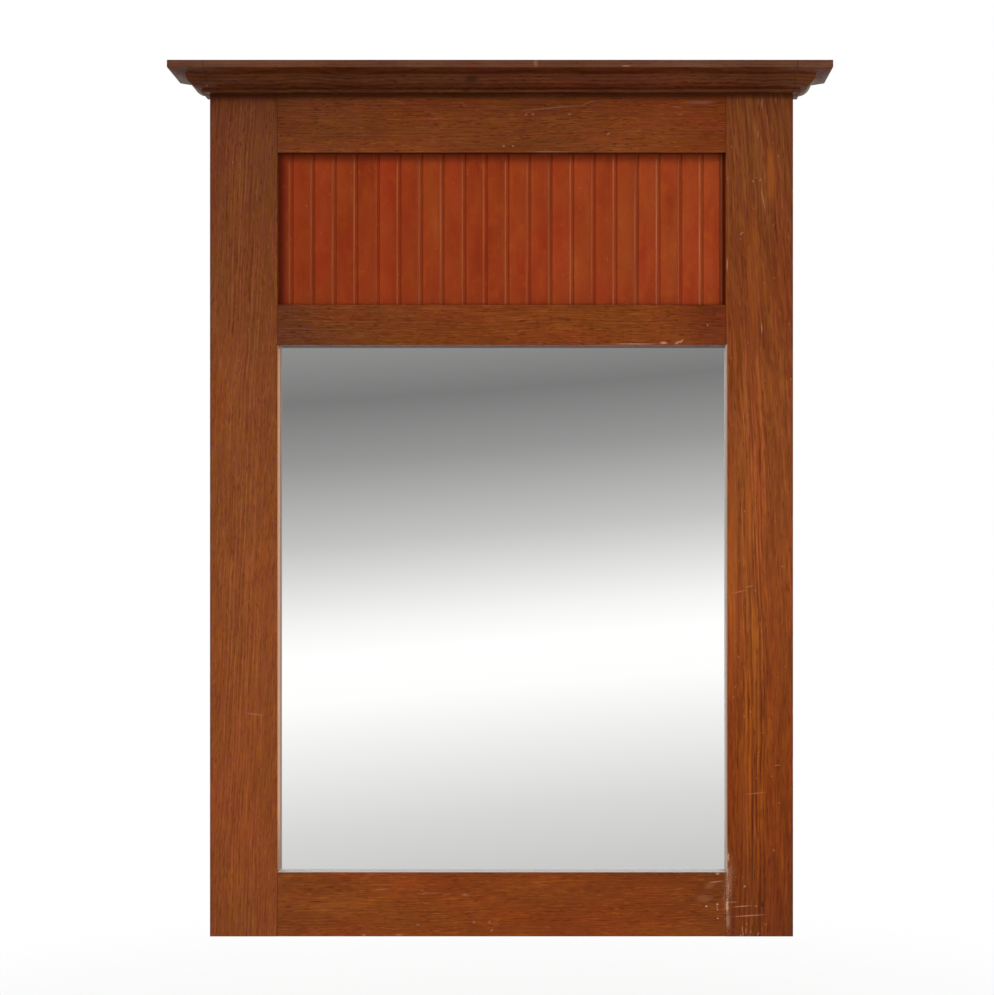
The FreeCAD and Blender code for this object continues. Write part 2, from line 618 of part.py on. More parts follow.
def make_crown_screws():
    """Flat-headed screws from behind, through the top rail and both uprights into the crown."""
    radius, head = SIZE["screw_radius"], SIZE["crown_screw_head_radius"]
    places = [SIZE["opening_width"] * share - INNER_X for share in RAIL_SCREW_SHARES] + [-STILE_X, STILE_X]
    screws = []
    for across in places:
        cone = doc.addObject("Part::Cone", "screw_head")
        bind(cone, "Radius1", head)
        bind(cone, "Radius2", radius)
        bind(cone, "Height", head - radius)
        shank = doc.addObject("Part::Cylinder", "screw_shank")
        bind(shank, "Radius", radius)
        bind(shank, "Height", SIZE["crown_screw_length"])
        screw = doc.addObject("Part::Fuse", "crown_screw")
        screw.Base = cone
        screw.Tool = shank
        screw.Placement.Rotation = FreeCAD.Rotation(FreeCAD.Vector(1, 0, 0), 90)
        place(screw, across, BACK_Y, FOOT_Z + CROWN_SCREW_Z)
        screws.append(screw)
    gather("crown_screws", screws)


def make_strap(label, across):
    """A hanger strap: a flat plate, a step off the wood and a knuckle rolled round the ring's bar."""
    body = new_body(label)
    place(body, across, BACK_Y, AXIS_Z)
    thick, lift = SIZE["strap_thickness"], SIZE["strap_joggle"]
    outer = KNUCKLE_BORE + thick
    upper, lower = -SIZE["joggle_top"], -SIZE["joggle_top"] - SIZE["joggle_height"]
    end = -SIZE["strap_length"]
    sine, cosine = math.sin(CURL_END), math.cos(CURL_END)
    corners = [(ZERO, end), (ZERO, lower), (lift, upper), (lift, ZERO),
               (AXIS_OFF_WOOD + outer * cosine, outer * sine),
               (AXIS_OFF_WOOD + KNUCKLE_BORE * cosine, KNUCKLE_BORE * sine),
               (lift + thick, ZERO), (lift + thick, upper), (thick, lower), (thick, end)]
    sketch = new_sketch(body, "YZ_Plane", -SIZE["strap_width"] / 2)
    draw_outline(sketch, corners, {3: (outer, -1, True), 5: (KNUCKLE_BORE, 1, True)})
    add_feature(body, "Pad", sketch, SIZE["strap_width"], True)
    spots = [(ZERO, -drop) for drop in HANGER_HOLES]
    cut_holes(body, spots, -OVERRUN, thick + OVERRUN * 2, SIZE["strap_hole_radius"], False)
    soften(body, "Fillet", "Radius", SIZE["strap_end_radius"],
           lambda edge: runs_along(edge, 1) and lies_at(edge, 2, end))


def make_ring(label, across):
    """A ring of wire bent to a D: a straight bar in the knuckle, two legs and a half round."""
    body = new_body(label)
    place(body, across, BACK_Y + AXIS_OFF_WOOD, AXIS_Z)
    wire, bend = SIZE["ring_wire_radius"], SIZE["ring_corner_radius"]
    half = SIZE["ring_inner_width"] / 2 + wire
    shoulder = -(SIZE["ring_inner_reach"] + wire - half)
    spine = new_sketch(body, "XZ_Plane", ZERO)
    corners = [(ZERO, ZERO), (bend - half, ZERO), (-half, -bend), (-half, shoulder),
               (ZERO, shoulder - half), (half, shoulder), (half, -bend), (half - bend, ZERO)]
    rounds = {1: (bend, 1, False), 3: (half, 1, False), 4: (half, 1, False), 6: (bend, 1, False)}
    draw_outline(spine, corners, rounds)
    section = new_sketch(body, "YZ_Plane", ZERO)
    draw_circle(section, ZERO, ZERO, wire)
    pipe = body.newObject("PartDesign::AdditivePipe", "wire")
    pipe.Profile = section
    pipe.Spine = (spine, [])


def make_hanger_screws():
    """Two round-headed screws through each strap."""
    head, tall, crown = SIZE["hanger_head_radius"], SIZE["hanger_head_height"], SIZE["hanger_head_crown"]
    screws = []
    for across in (-STILE_X, STILE_X):
        for drop in HANGER_HOLES:
            shank = doc.addObject("Part::Cylinder", "hanger_shank")
            bind(shank, "Radius", SIZE["screw_radius"])
            bind(shank, "Height", SIZE["hanger_screw_length"])
            button = doc.addObject("Part::Cylinder", "hanger_button")
            bind(button, "Radius", head)
            bind(button, "Height", tall - crown)
            bind(button, ".Placement.Base.z", crown - tall)
            dome = doc.addObject("Part::Cone", "hanger_dome")
            bind(dome, "Radius1", head - crown)
            bind(dome, "Radius2", head)
            bind(dome, "Height", crown)
            bind(dome, ".Placement.Base.z", -tall)
            screw = doc.addObject("Part::MultiFuse", "hanger_screw")
            screw.Shapes = [shank, button, dome]
            screw.Placement.Rotation = FreeCAD.Rotation(FreeCAD.Vector(1, 0, 0), 90)
            place(screw, across, BACK_Y + SIZE["strap_thickness"], AXIS_Z - drop)
            screws.append(screw)
    gather("hanger_screws", screws)


def make_bumper(label, across):
    """A round rubber bumper stuck to the back of an upright."""
    body = new_body(label)
    place(body, across, BACK_Y, FOOT_Z + SIZE["bumper_height"])
    sketch = new_sketch(body, "XZ_Plane", ZERO)
    draw_circle(sketch, ZERO, ZERO, SIZE["bumper_radius"])
    add_feature(body, "Pad", sketch, SIZE["bumper_thickness"], False)
    soften(body, "Chamfer", "Size", SIZE["bumper_chamfer"],
           lambda edge: lies_at(edge, 1, SIZE["bumper_thickness"]))


def check_model():
    """Stop if any object failed, any cut removed nothing or any sub-part has no sound solid."""
    for thing in doc.Objects:
        if "Invalid" in thing.State or "Error" in thing.State:
            raise RuntimeError(f"{thing.Label} failed: {thing.State}")
        if thing.TypeId == "PartDesign::Pocket":
            removed = thing.BaseFeature.Shape.Volume - thing.Shape.Volume
            if removed < TOLERANCE:
                raise RuntimeError(f"{thing.Label} cuts nothing")
    for piece in pieces:
        if piece.Shape.isNull() or not piece.Shape.isValid() or not piece.Shape.Solids:
            raise RuntimeError(f"{piece.Label} has no sound solid")


def write_pieces():
    """Write each sub-part to its own file and print its size."""
    os.makedirs("parts", exist_ok=True)
    for piece in pieces:
        piece.Shape.exportStep(f"parts/{piece.Label}.step")
        box = piece.Shape.BoundBox
        print(f"{piece.Label}: {box.XLength:.1f} x {box.YLength:.1f} x {box.ZLength:.1f} mm,"
              f" {len(piece.Shape.Solids)} solid(s), {piece.Shape.Volume:.0f} mm3")


make_stile("left_stile", True)
make_stile("right_stile", False)
for rail in RAILS:
    make_rail(rail)
make_crowns()
make_boards()
make_glass()
make_strips()
make_board_pins()
make_crown_screws()
for hand, middle in (("left", -STILE_X), ("right", STILE_X)):
    make_strap(f"hanger_strap_{hand}", middle)
    make_ring(f"hanger_ring_{hand}", middle)
    make_bumper(f"wall_bumper_{hand}", middle)
make_hanger_screws()
doc.recompute()
check_model()
write_pieces()
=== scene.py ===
"""Looks of the oak wall mirror: finishes, small fittings, soft studio light and the camera."""

import json
import logging
import math
from collections.abc import Iterable, Sequence
from dataclasses import dataclass
from enum import Enum

import bpy
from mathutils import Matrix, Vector

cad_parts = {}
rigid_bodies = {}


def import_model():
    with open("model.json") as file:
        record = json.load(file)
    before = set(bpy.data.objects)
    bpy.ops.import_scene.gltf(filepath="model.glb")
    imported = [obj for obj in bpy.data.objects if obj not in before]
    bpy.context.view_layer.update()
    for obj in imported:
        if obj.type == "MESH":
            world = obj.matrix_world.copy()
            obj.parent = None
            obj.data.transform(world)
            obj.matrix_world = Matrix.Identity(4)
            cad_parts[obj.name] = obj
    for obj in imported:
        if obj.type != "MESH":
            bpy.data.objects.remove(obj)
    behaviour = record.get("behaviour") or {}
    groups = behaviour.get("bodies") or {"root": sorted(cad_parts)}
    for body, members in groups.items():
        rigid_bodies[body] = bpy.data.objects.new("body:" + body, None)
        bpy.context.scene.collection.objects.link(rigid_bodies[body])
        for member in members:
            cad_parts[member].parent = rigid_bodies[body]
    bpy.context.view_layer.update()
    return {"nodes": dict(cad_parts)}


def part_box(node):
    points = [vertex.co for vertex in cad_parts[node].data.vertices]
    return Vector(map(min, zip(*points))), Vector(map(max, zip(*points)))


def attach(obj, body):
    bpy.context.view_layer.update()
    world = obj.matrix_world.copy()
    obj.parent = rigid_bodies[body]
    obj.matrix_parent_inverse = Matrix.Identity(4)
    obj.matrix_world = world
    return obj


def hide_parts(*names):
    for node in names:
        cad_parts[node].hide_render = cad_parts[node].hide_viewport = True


for spare in list(bpy.data.objects):
    bpy.data.objects.remove(spare)
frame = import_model()

LOG = logging.getLogger("wall_mirror")
MM = 0.001
SEAM_GAP = 0.001 * MM
SMOOTH_ANGLE = math.radians(35)
FLAT_ANGLE = math.radians(0.4)
RIGHT_ANGLE = math.radians(90)
SQUARELY = 0.9

Colour = tuple[float, float, float, float]
Triple = tuple[float, float, float]
Band = tuple[float, float]
Run = tuple[tuple[float, Colour], ...]
Socket = bpy.types.NodeSocket
Feed = Socket | float | Sequence[float]


def stain(red: int, green: int, blue: int) -> Colour:
    """Turn a colour as a screen shows it into the light values that a shader takes.

    Args:
        red: Red, 0 to 255.
        green: Green, 0 to 255.
        blue: Blue, 0 to 255.

    Returns:
        The linear colour with full opacity.
    """
    def linear(level: int) -> float:
        """Light value of one channel."""
        share = level / 255
        return share / 12.92 if share <= 0.04045 else ((share + 0.055) / 1.055) ** 2.4

    return linear(red), linear(green), linear(blue), 1.0


def tint(red: float, green: float, blue: float) -> Colour:
    """A colour that others are multiplied by."""
    return red, green, blue, 1.0


def grey(level: float) -> Colour:
    """A grey of one light value."""
    return tint(level, level, level)


class Grain(Enum):
    """Which way the wood runs: across, depth and along, as axis numbers."""

    UPRIGHT = (0, 1, 2)
    LEVEL = (2, 1, 0)
    DEEP = (2, 0, 1)


@dataclass(frozen=True)
class Pattern:
    """A stretched noise: its lumps to the metre along each axis, its start, its detail and its roughness.

    Its spots begin at the first value of its edge and are whole at the second.
    """

    scale: Triple
    start: Triple = (0.0, 0.0, 0.0)
    detail: float = 2.0
    rough: float = 0.5
    edge: Band = (0.0, 1.0)


class Graph:
    """A node tree that is built by short calls."""

    def __init__(self, tree: bpy.types.NodeTree) -> None:
        """Take over a tree and empty it."""
        self.tree = tree
        self.tree.nodes.clear()

    def add(self, kind: str, feeds: dict | None = None, **settings: object) -> bpy.types.Node:
        """Add a node.

        Args:
            kind: The node's type.
            feeds: Values or sockets by input name or number.
            settings: Properties of the node.

        Returns:
            The new node.
        """
        node = self.tree.nodes.new(kind)
        for name, value in settings.items():
            setattr(node, name, value)
        for key, value in (feeds or {}).items():
            self.feed(node.inputs[key], value)
        return node

    def feed(self, socket: Socket, value: Feed) -> None:
        """Link a socket to an input, or set the input to a plain value.

        Args:
            socket: The input.
            value: The socket or the value that it takes.
        """
        if isinstance(value, bpy.types.NodeSocket):
            self.tree.links.new(value, socket)
        else:
            socket.default_value = value

    def sum(self, operation: str, first: Feed, second: Feed = 0.0, clamp: bool = False) -> Socket:
        """One step of arithmetic on two numbers."""
        feeds = {0: first, 1: second}
        return self.add("ShaderNodeMath", feeds, operation=operation, use_clamp=clamp).outputs[0]

    def plus(self, first: Feed, second: Feed, clamp: bool = False) -> Socket:
        """The first number and the second, kept between 0 and 1 if clamped."""
        return self.sum("ADD", first, second, clamp)

    def minus(self, first: Feed, second: Feed) -> Socket:
        """The first number less the second."""
        return self.sum("SUBTRACT", first, second)

    def times(self, first: Feed, second: Feed) -> Socket:
        """The first number times the second."""
        return self.sum("MULTIPLY", first, second)

    def larger(self, first: Feed, second: Feed) -> Socket:
        """The larger of two numbers."""
        return self.sum("MAXIMUM", first, second)

    def unsigned(self, value: Feed) -> Socket:
        """A number without its sign."""
        return self.sum("ABSOLUTE", value)

    def centred(self, value: Feed, gain: float) -> Socket:
        """A 0 to 1 value turned round its middle and scaled."""
        return self.times(self.minus(value, 0.5), gain)

    def blend(self, share: Feed, first: Feed, second: Feed, way: str = "MIX") -> Socket:
        """Mix two colours by a share of the second."""
        feeds = {0: share, 6: first, 7: second}
        return self.add("ShaderNodeMix", feeds, data_type="RGBA", blend_type=way).outputs[2]

    def step(self, value: Feed, low: float, high: float) -> Socket:
        """Rise smoothly from 0 at low to 1 at high."""
        feeds = {"Value": value, "From Min": low, "From Max": high}
        return self.add("ShaderNodeMapRange", feeds, interpolation_type="SMOOTHSTEP").outputs[0]

    def band(self, value: Feed, low: float, high: float, soft: float) -> Socket:
        """1 between two values and 0 outside them, with soft ends."""
        end = self.step(value, high + soft, high - soft)
        return self.times(self.step(value, low - soft, low + soft), end)

    def off(self, value: Feed, line: float, band: Band) -> Socket:
        """Rise smoothly from 0 to 1 between two distances in mm from a line."""
        return self.step(value, line + band[0] * MM, line + band[1] * MM)

    def ramp(self, value: Feed, stops: Iterable[tuple[float, Colour]]) -> Socket:
        """Look a number up on a run of colours.

        Args:
            value: The number.
            stops: Colours, each with its place.

        Returns:
            The colour.
        """
        stops = tuple(stops)
        node = self.add("ShaderNodeValToRGB", {0: value})
        run = node.color_ramp
        run.interpolation = "LINEAR"
        while len(run.elements) < len(stops):
            run.elements.new(1.0)
        for element, (place, colour) in zip(run.elements, stops):
            element.position = place
            element.color = colour
        return node.outputs[0]

    def noise(self, place: Feed, detail: float = 2.0, rough: float = 0.5) -> Socket:
        """Soft noise at one lump to the unit."""
        feeds = {"Vector": place, "Scale": 1.0, "Detail": detail, "Roughness": rough}
        return self.add("ShaderNodeTexNoise", feeds).outputs[0]

    def pattern(self, place: Feed, pattern: Pattern, seed: float = 0.0, short: float = 1.0) -> Socket:
        """Stretched noise.

        Args:
            place: Where it is looked up.
            pattern: The pattern.
            seed: How far its start is moved along each axis.
            short: How many times shorter its lumps are along the last axis.

        Returns:
            The noise, 0 to 1.
        """
        across, deep, along = pattern.scale
        start = tuple(part + seed for part in pattern.start)
        feeds = {0: place, 1: start, 3: (across, deep, along * short)}
        return self.noise(self.add("ShaderNodeMapping", feeds).outputs[0], pattern.detail, pattern.rough)

    def spots(self, place: Feed, pattern: Pattern, seed: float = 0.0, short: float = 1.0) -> Socket:
        """Where the spots of a pattern lie, 1 on them and 0 off them."""
        return self.step(self.pattern(place, pattern, seed, short), *pattern.edge)

    def luck(self, number: Feed) -> Socket:
        """A random value from 0 to 1 that belongs to a whole number."""
        return self.add("ShaderNodeTexWhiteNoise", {"W": number}, noise_dimensions="1D").outputs["Value"]

    def axes(self, vector: Feed) -> list[Socket]:
        """The three parts of a vector."""
        return list(self.add("ShaderNodeSeparateXYZ", {0: vector}).outputs)

    def vector(self, *parts: Feed) -> Socket:
        """A vector from its three parts."""
        return self.add("ShaderNodeCombineXYZ", dict(enumerate(parts))).outputs[0]

    def length(self, vector: Feed) -> Socket:
        """How long a vector is."""
        return self.add("ShaderNodeVectorMath", {0: vector}, operation="LENGTH").outputs["Value"]

    def scaled(self, vector: Feed, gain: Feed) -> Socket:
        """A vector or colour times a number."""
        return self.add("ShaderNodeVectorMath", {0: vector, "Scale": gain}, operation="SCALE").outputs[0]


class Recipe(Graph):
    """A material's node tree, with its shader, the place on the piece and the colour laid so far."""

    def __init__(self, name: str) -> None:
        """Start a material with a bare shader.

        Args:
            name: The material's name.
        """
        self.material = bpy.data.materials.new(name)
        self.material.use_nodes = True
        super().__init__(self.material.node_tree)
        self.shader = self.add("ShaderNodeBsdfPrincipled")
        self.output = self.add("ShaderNodeOutputMaterial")
        self.tree.links.new(self.shader.outputs[0], self.output.inputs[0])
        spot = self.add("ShaderNodeTexCoord")
        self.place = spot.outputs["Object"]
        self.parts = self.axes(self.place)
        self.facing = self.axes(spot.outputs["Normal"])
        self.colour: Feed = NO_TINT

    def bump(self, height: Feed, distance: float) -> None:
        """Raise the surface by a height map."""
        feeds = {"Height": height, "Distance": distance, "Strength": 1.0}
        self.feed(self.shader.inputs["Normal"], self.add("ShaderNodeBump", feeds).outputs[0])

    def lay(self, colour: Feed, where: Feed, share: Feed = 1.0, way: str = "MIX") -> None:
        """Lay a colour over the others where a mask says, as strongly as a share says."""
        self.colour = self.blend(self.times(where, share), self.colour, colour, way)

    def grade(self, place: Feed, run: Run) -> None:
        """Multiply the colour by tints that change along an axis.

        Args:
            place: Place along the axis.
            run: Tints of up to 2.0, each with its place.
        """
        first, last = run[0][0], run[-1][0]
        share = self.sum("DIVIDE", self.minus(place, first), last - first)
        halves = [tuple(level / 2 for level in shade) for _, shade in run]
        stops = [((spot - first) / (last - first), half) for (spot, _), half in zip(run, halves)]
        self.colour = self.blend(1.0, self.colour, self.scaled(self.ramp(share, stops), 2.0), "MULTIPLY")

    def finish(self, roughness: Feed, **levels: float | Colour) -> bpy.types.Material:
        """Wire up the shader and hand over the material.

        Args:
            roughness: The surface's roughness.
            levels: Other inputs of the shader, by name with underscores for spaces.

        Returns:
            The finished material.
        """
        self.feed(self.shader.inputs["Base Color"], self.colour)
        self.feed(self.shader.inputs["Roughness"], roughness)
        for name, level in levels.items():
            self.shader.inputs[name.replace("_", " ")].default_value = level
        return self.material


@dataclass(frozen=True)
class Mark:
    """A scratch, nick or stain on the front: its middle and half sizes in mm, and its lean in degrees."""

    across: float
    up: float
    half_length: float
    half_width: float
    lean: float = 0.0
    strength: float = 1.0
    fray: float = 1.7


def marks_mask(recipe: Recipe, marks: Iterable[Mark], ragged: Feed) -> Feed:
    """Where a set of marks lies.

    Args:
        recipe: The material they are on.
        marks: The marks.
        ragged: Noise that frays their edges.

    Returns:
        1 on a mark and 0 off it.
    """
    total: Feed = 0.0
    for mark in marks:
        feeds = {
            0: recipe.place,
            1: (mark.across * MM, FRONT.front, mark.up * MM),
            2: (0.0, math.radians(-mark.lean), 0.0),
            3: (mark.half_length * MM, 1.0, mark.half_width * MM),
        }
        near = recipe.length(recipe.add("ShaderNodeMapping", feeds, vector_type="TEXTURE").outputs[0])
        shape = recipe.step(recipe.plus(near, recipe.centred(ragged, mark.fray)), *MARK_EDGE)
        total = recipe.larger(total, recipe.times(shape, mark.strength))
    return total


@dataclass(frozen=True)
class FrontLayout:
    """Lines of the frame's front that the finishes and the light follow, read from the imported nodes."""

    front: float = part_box("left_stile")[0].y
    inner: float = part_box("right_stile")[0].x
    outer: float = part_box("right_stile")[1].x
    foot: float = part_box("bottom_rail")[0].z
    glass_low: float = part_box("bottom_rail")[1].z
    glass_high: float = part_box("middle_rail")[0].z
    panel_low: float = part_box("middle_rail")[1].z
    panel_high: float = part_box("top_rail")[0].z
    crown_low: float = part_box("crown_front")[0].z
    top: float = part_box("crown_front")[1].z
    board_face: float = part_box("bead_board_05")[0].y
    board_back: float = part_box("bead_board_05")[1].y


FRONT = FrontLayout()
MARK_EDGE = (1.25, 0.35)

# How far a face is turned towards one side before a finish takes it as facing that way.
BEHIND = (0.4, 0.8)
OUTWARD = (0.2, 0.6)
UPWARD = (0.6, 0.9)
SIDEWAYS = (0.8, 0.95)
END_GRAIN = (0.75, 0.95)

# Dark stain for real stains and joint lines, also laid as painted shade under the crown, in the rebates and
# along the outer arrises.
DARK_STAIN_AND_SHADE = stain(52, 22, 10)
WARM_PATCH = stain(162, 84, 28)
BARE_SCRATCH = stain(205, 158, 128)
# Painted highlight: the glare on the left upright's side beside the glass.
EDGE_HIGHLIGHT = stain(250, 188, 142)
# Painted light: a pale band on the front along the right opening's arris.
ARRIS_LIGHT_BAND = stain(180, 160, 146)
# Near-white painted light: on the bottom rail's ledge and on the right upright's side beside the glass.
PALE_PAINTED_LIGHT = stain(247, 242, 236)
# Painted shade where an upright's side meets the glass.
GLASS_SEAM_SHADE = stain(88, 72, 62)
DUST = stain(118, 86, 68)
BACK_RAMP = ((0.25, stain(150, 110, 70)), (0.75, stain(196, 160, 114)))
WAX_GLOSS = tint(1.0, 0.8, 0.6)
WAX_LEVEL = 0.16

NO_TINT = tint(1.0, 1.0, 1.0)
OLIVE_TINT = tint(0.90, 1.04, 0.86)
RED_TINT = tint(1.02, 0.90, 0.94)
ORANGE_TINT = tint(1.20, 1.14, 0.62)
# Painted light: the crown returns' outward faces lighter, as the light falls on them.
LIT_SIDE_TINT = tint(1.95, 4.6, 8.2)
MOTTLE_TINTS = ((0.34, tint(0.98, 0.91, 1.22)), (0.5, NO_TINT), (0.66, tint(1.02, 1.08, 0.76)))
OLIVE_EDGE = (0.42, 0.62)
RED_EDGE = (0.5, 0.34)
ORANGE_EDGE = (0.54, 0.7)
PORE_EDGE = (0.60, 0.68)

RING_WANDER = Pattern((16.0, 1.0, 5.0), detail=3.0)
STREAKS = Pattern((400.0, 120.0, 20.0), detail=3.0, rough=0.55)
HAIRS = Pattern((900.0, 400.0, 60.0), (2.0, 2.0, 2.0), 2.0, 0.55)
CLOUDS = Pattern((30.0, 12.0, 7.0), (4.0, 4.0, 4.0), 3.0, 0.55)
MOTTLE = Pattern((130.0, 60.0, 75.0), (15.0, 15.0, 15.0), 3.0, 0.55)
COMB_SHADE = Pattern((450.0, 120.0, 3.6), (21.0, 21.0, 21.0), 2.0, 0.55)
PORES = Pattern((520.0, 420.0, 58.0), (3.0, 3.0, 3.0), 1.0, 0.4)
PORE_GROUPS = Pattern((60.0, 30.0, 9.0), (3.0, 3.0, 3.0))
FIBRES = Pattern((560.0, 420.0, 42.0), (8.0, 8.0, 8.0), 1.0, 0.4, (0.64, 0.74))
FLECKS = Pattern((360.0, 40.0, 150.0), edge=(0.70, 0.78))
FRAYING = Pattern((900.0, 300.0, 900.0), detail=3.0, rough=0.7)
RUBBING = Pattern((40.0, 40.0, 40.0), (6.0, 2.0, 1.0), 4.0, 0.7, (0.56, 0.66))
BACK_STAINS = Pattern((30.0, 30.0, 9.0), (3.0, 3.0, 3.0), 4.0, 0.6, (0.5, 0.74))


@dataclass(frozen=True)
class Log:
    """How a piece was sawn: where the log's heart lies from the face, and how fast it runs away along it.

    Its rings wander sideways and crowd together in places. Each darkens as it rises and ends as it falls.
    """

    heart_across: float
    heart_depth: float
    rise: float
    level: float
    ring: float = 3.2 * MM
    contrast: float = 0.16
    wander: float = 12.0 * MM
    crowding: float = 2.2
    crowding_rate: float = 0.35
    rising: Band = (0.0, 0.6)
    falling: Band = (1.0, 0.78)

    def rings(self, recipe: Recipe, seed: float, across: Feed, depth: Feed, along: Feed) -> Socket:
        """Growth rings where the face cuts the log.

        Args:
            recipe: The material.
            seed: Number that sets one piece of wood apart.
            across: Place across the grain.
            depth: Place through the thickness.
            along: Place along the grain.

        Returns:
            The ring's tone, 0 in early wood to 1 in late wood.
        """
        wander = recipe.centred(recipe.pattern(recipe.vector(across, seed, along), RING_WANDER), self.wander)
        sideways = recipe.plus(recipe.minus(across, self.heart_across), wander)
        fall = recipe.times(recipe.minus(along, self.level), self.rise)
        below = recipe.plus(recipe.minus(depth, FRONT.front), recipe.plus(fall, self.heart_depth))
        count = recipe.sum("DIVIDE", recipe.length(recipe.vector(sideways, below, 0.0)), self.ring)
        uneven = recipe.noise(recipe.vector(recipe.times(count, self.crowding_rate), seed, 0.0), 1.0)
        phase = recipe.sum("FRACT", recipe.plus(count, recipe.centred(uneven, self.crowding)))
        return recipe.times(recipe.step(phase, *self.rising), recipe.step(phase, *self.falling))


@dataclass(frozen=True)
class Comb:
    """A column of close dark late wood: where it lies across the piece, and where it grows faint.

    Its lines crowd together in places, each darkens as it rises and ends as it falls, and some are fainter.
    """

    across: float
    half_width: float
    top: float
    gain: float
    pitch: float = 5.2 * MM
    fading: float = 0.16
    least: float = 0.3
    crowding: float = 3.0
    rising: Band = (0.0, 0.55)
    falling: Band = (1.0, 0.7)
    fainter: Band = (0.30, 0.62)
    near_shares: Band = (1.3, 0.5)
    crowding_rates: Band = (0.3, 2.0)
    strength_rates: Triple = (0.9, 9.0, 5.0)

    def late_wood(self, recipe: Recipe, across: Feed, along: Feed) -> Socket:
        """Dark lines of late wood that run almost straight, some of them fainter than others.

        Args:
            recipe: The material.
            across: Place across the grain.
            along: Place along the grain.

        Returns:
            The lines' tone, 0 between them.
        """
        count = recipe.sum("DIVIDE", across, self.pitch)
        by_line, by_metre = self.crowding_rates
        uneven = recipe.noise(recipe.vector(recipe.times(count, by_line), recipe.times(along, by_metre), 0.0))
        phase = recipe.sum("FRACT", recipe.plus(count, recipe.centred(uneven, self.crowding)))
        by_line, by_metre, seed = self.strength_rates
        place = recipe.vector(recipe.times(count, by_line), recipe.times(along, by_metre), seed)
        strong = recipe.noise(place)
        line = recipe.times(recipe.step(phase, *self.rising), recipe.step(phase, *self.falling))
        return recipe.times(line, recipe.step(strong, *self.fainter))

    def tone(self, recipe: Recipe, side: Feed, across: Feed, along: Feed, shade: Feed) -> Socket:
        """How much the column changes the wood's tone.

        Args:
            recipe: The material.
            side: Place across the piece.
            across: Place across the grain, which leans and drifts.
            along: Place along the grain.
            shade: Noise that the lines are taken from.

        Returns:
            The change of tone.
        """
        start, end = (self.half_width * share for share in self.near_shares)
        near = recipe.step(recipe.unsigned(recipe.minus(side, self.across)), start, end)
        faint = recipe.step(along, self.top + self.fading, self.top - self.fading)
        faint = recipe.times(faint, 1.0 - self.least)
        lines = recipe.times(recipe.minus(shade, self.late_wood(recipe, across, along)), self.gain)
        return recipe.times(lines, recipe.times(near, recipe.plus(faint, self.least)))


@dataclass(frozen=True)
class GlassEdge:
    """The edge beside the glass, painted light: how strongly on its side, how pale, and how much on the front
    by it.

    Each band is two distances in mm from a line of the front.
    """

    lit: float
    pale: Colour
    front_light: float = 0.0
    least: float = 0.4
    upward_gain: float = 0.55
    painted_shade: float = 0.2
    low_band: Band = (-1.0, 0.0)
    high_band: Band = (1.0, 0.0)
    front_light_band: Band = (2.9, 0.7)
    side_band: Band = (2.0, 1.0)
    front_band: Band = (1.6, 3.0)
    upward_gain_band: Band = (8.0, 90.0)
    glass_seam_band: Band = (-2.0, -0.6)

    def lay(self, recipe: Recipe) -> None:
        """Paint light on the side beside the glass, stronger higher up, shade where it meets the glass, and a
        pale band on the front along its arris.

        Args:
            recipe: The material.
        """
        x, y, z = recipe.parts
        side = recipe.unsigned(x)
        tall = recipe.times(recipe.off(z, FRONT.glass_low, self.low_band),
                            recipe.off(z, FRONT.glass_high, self.high_band))
        # Painted light: a pale band on the front along the opening's arris.
        front_light = recipe.off(side, FRONT.inner, self.front_light_band)
        recipe.lay(ARRIS_LIGHT_BAND, recipe.times(front_light, tall), self.front_light)
        # Painted light on the side face beside the glass, stronger higher up.
        beside = recipe.step(recipe.unsigned(recipe.facing[0]), *SIDEWAYS)
        inner = recipe.off(side, FRONT.inner, self.side_band)
        set_back = recipe.off(y, FRONT.front, self.front_band)
        share = recipe.times(recipe.times(beside, inner), recipe.times(tall, set_back))
        upward_gain = recipe.times(recipe.off(z, FRONT.glass_low, self.upward_gain_band), self.lit * self.upward_gain)
        recipe.lay(self.pale, share, recipe.plus(upward_gain, self.lit * self.least))
        # Painted shade where the side meets the glass.
        deep = recipe.off(y, FRONT.board_face, self.glass_seam_band)
        recipe.lay(GLASS_SEAM_SHADE, recipe.times(share, deep), self.painted_shade)


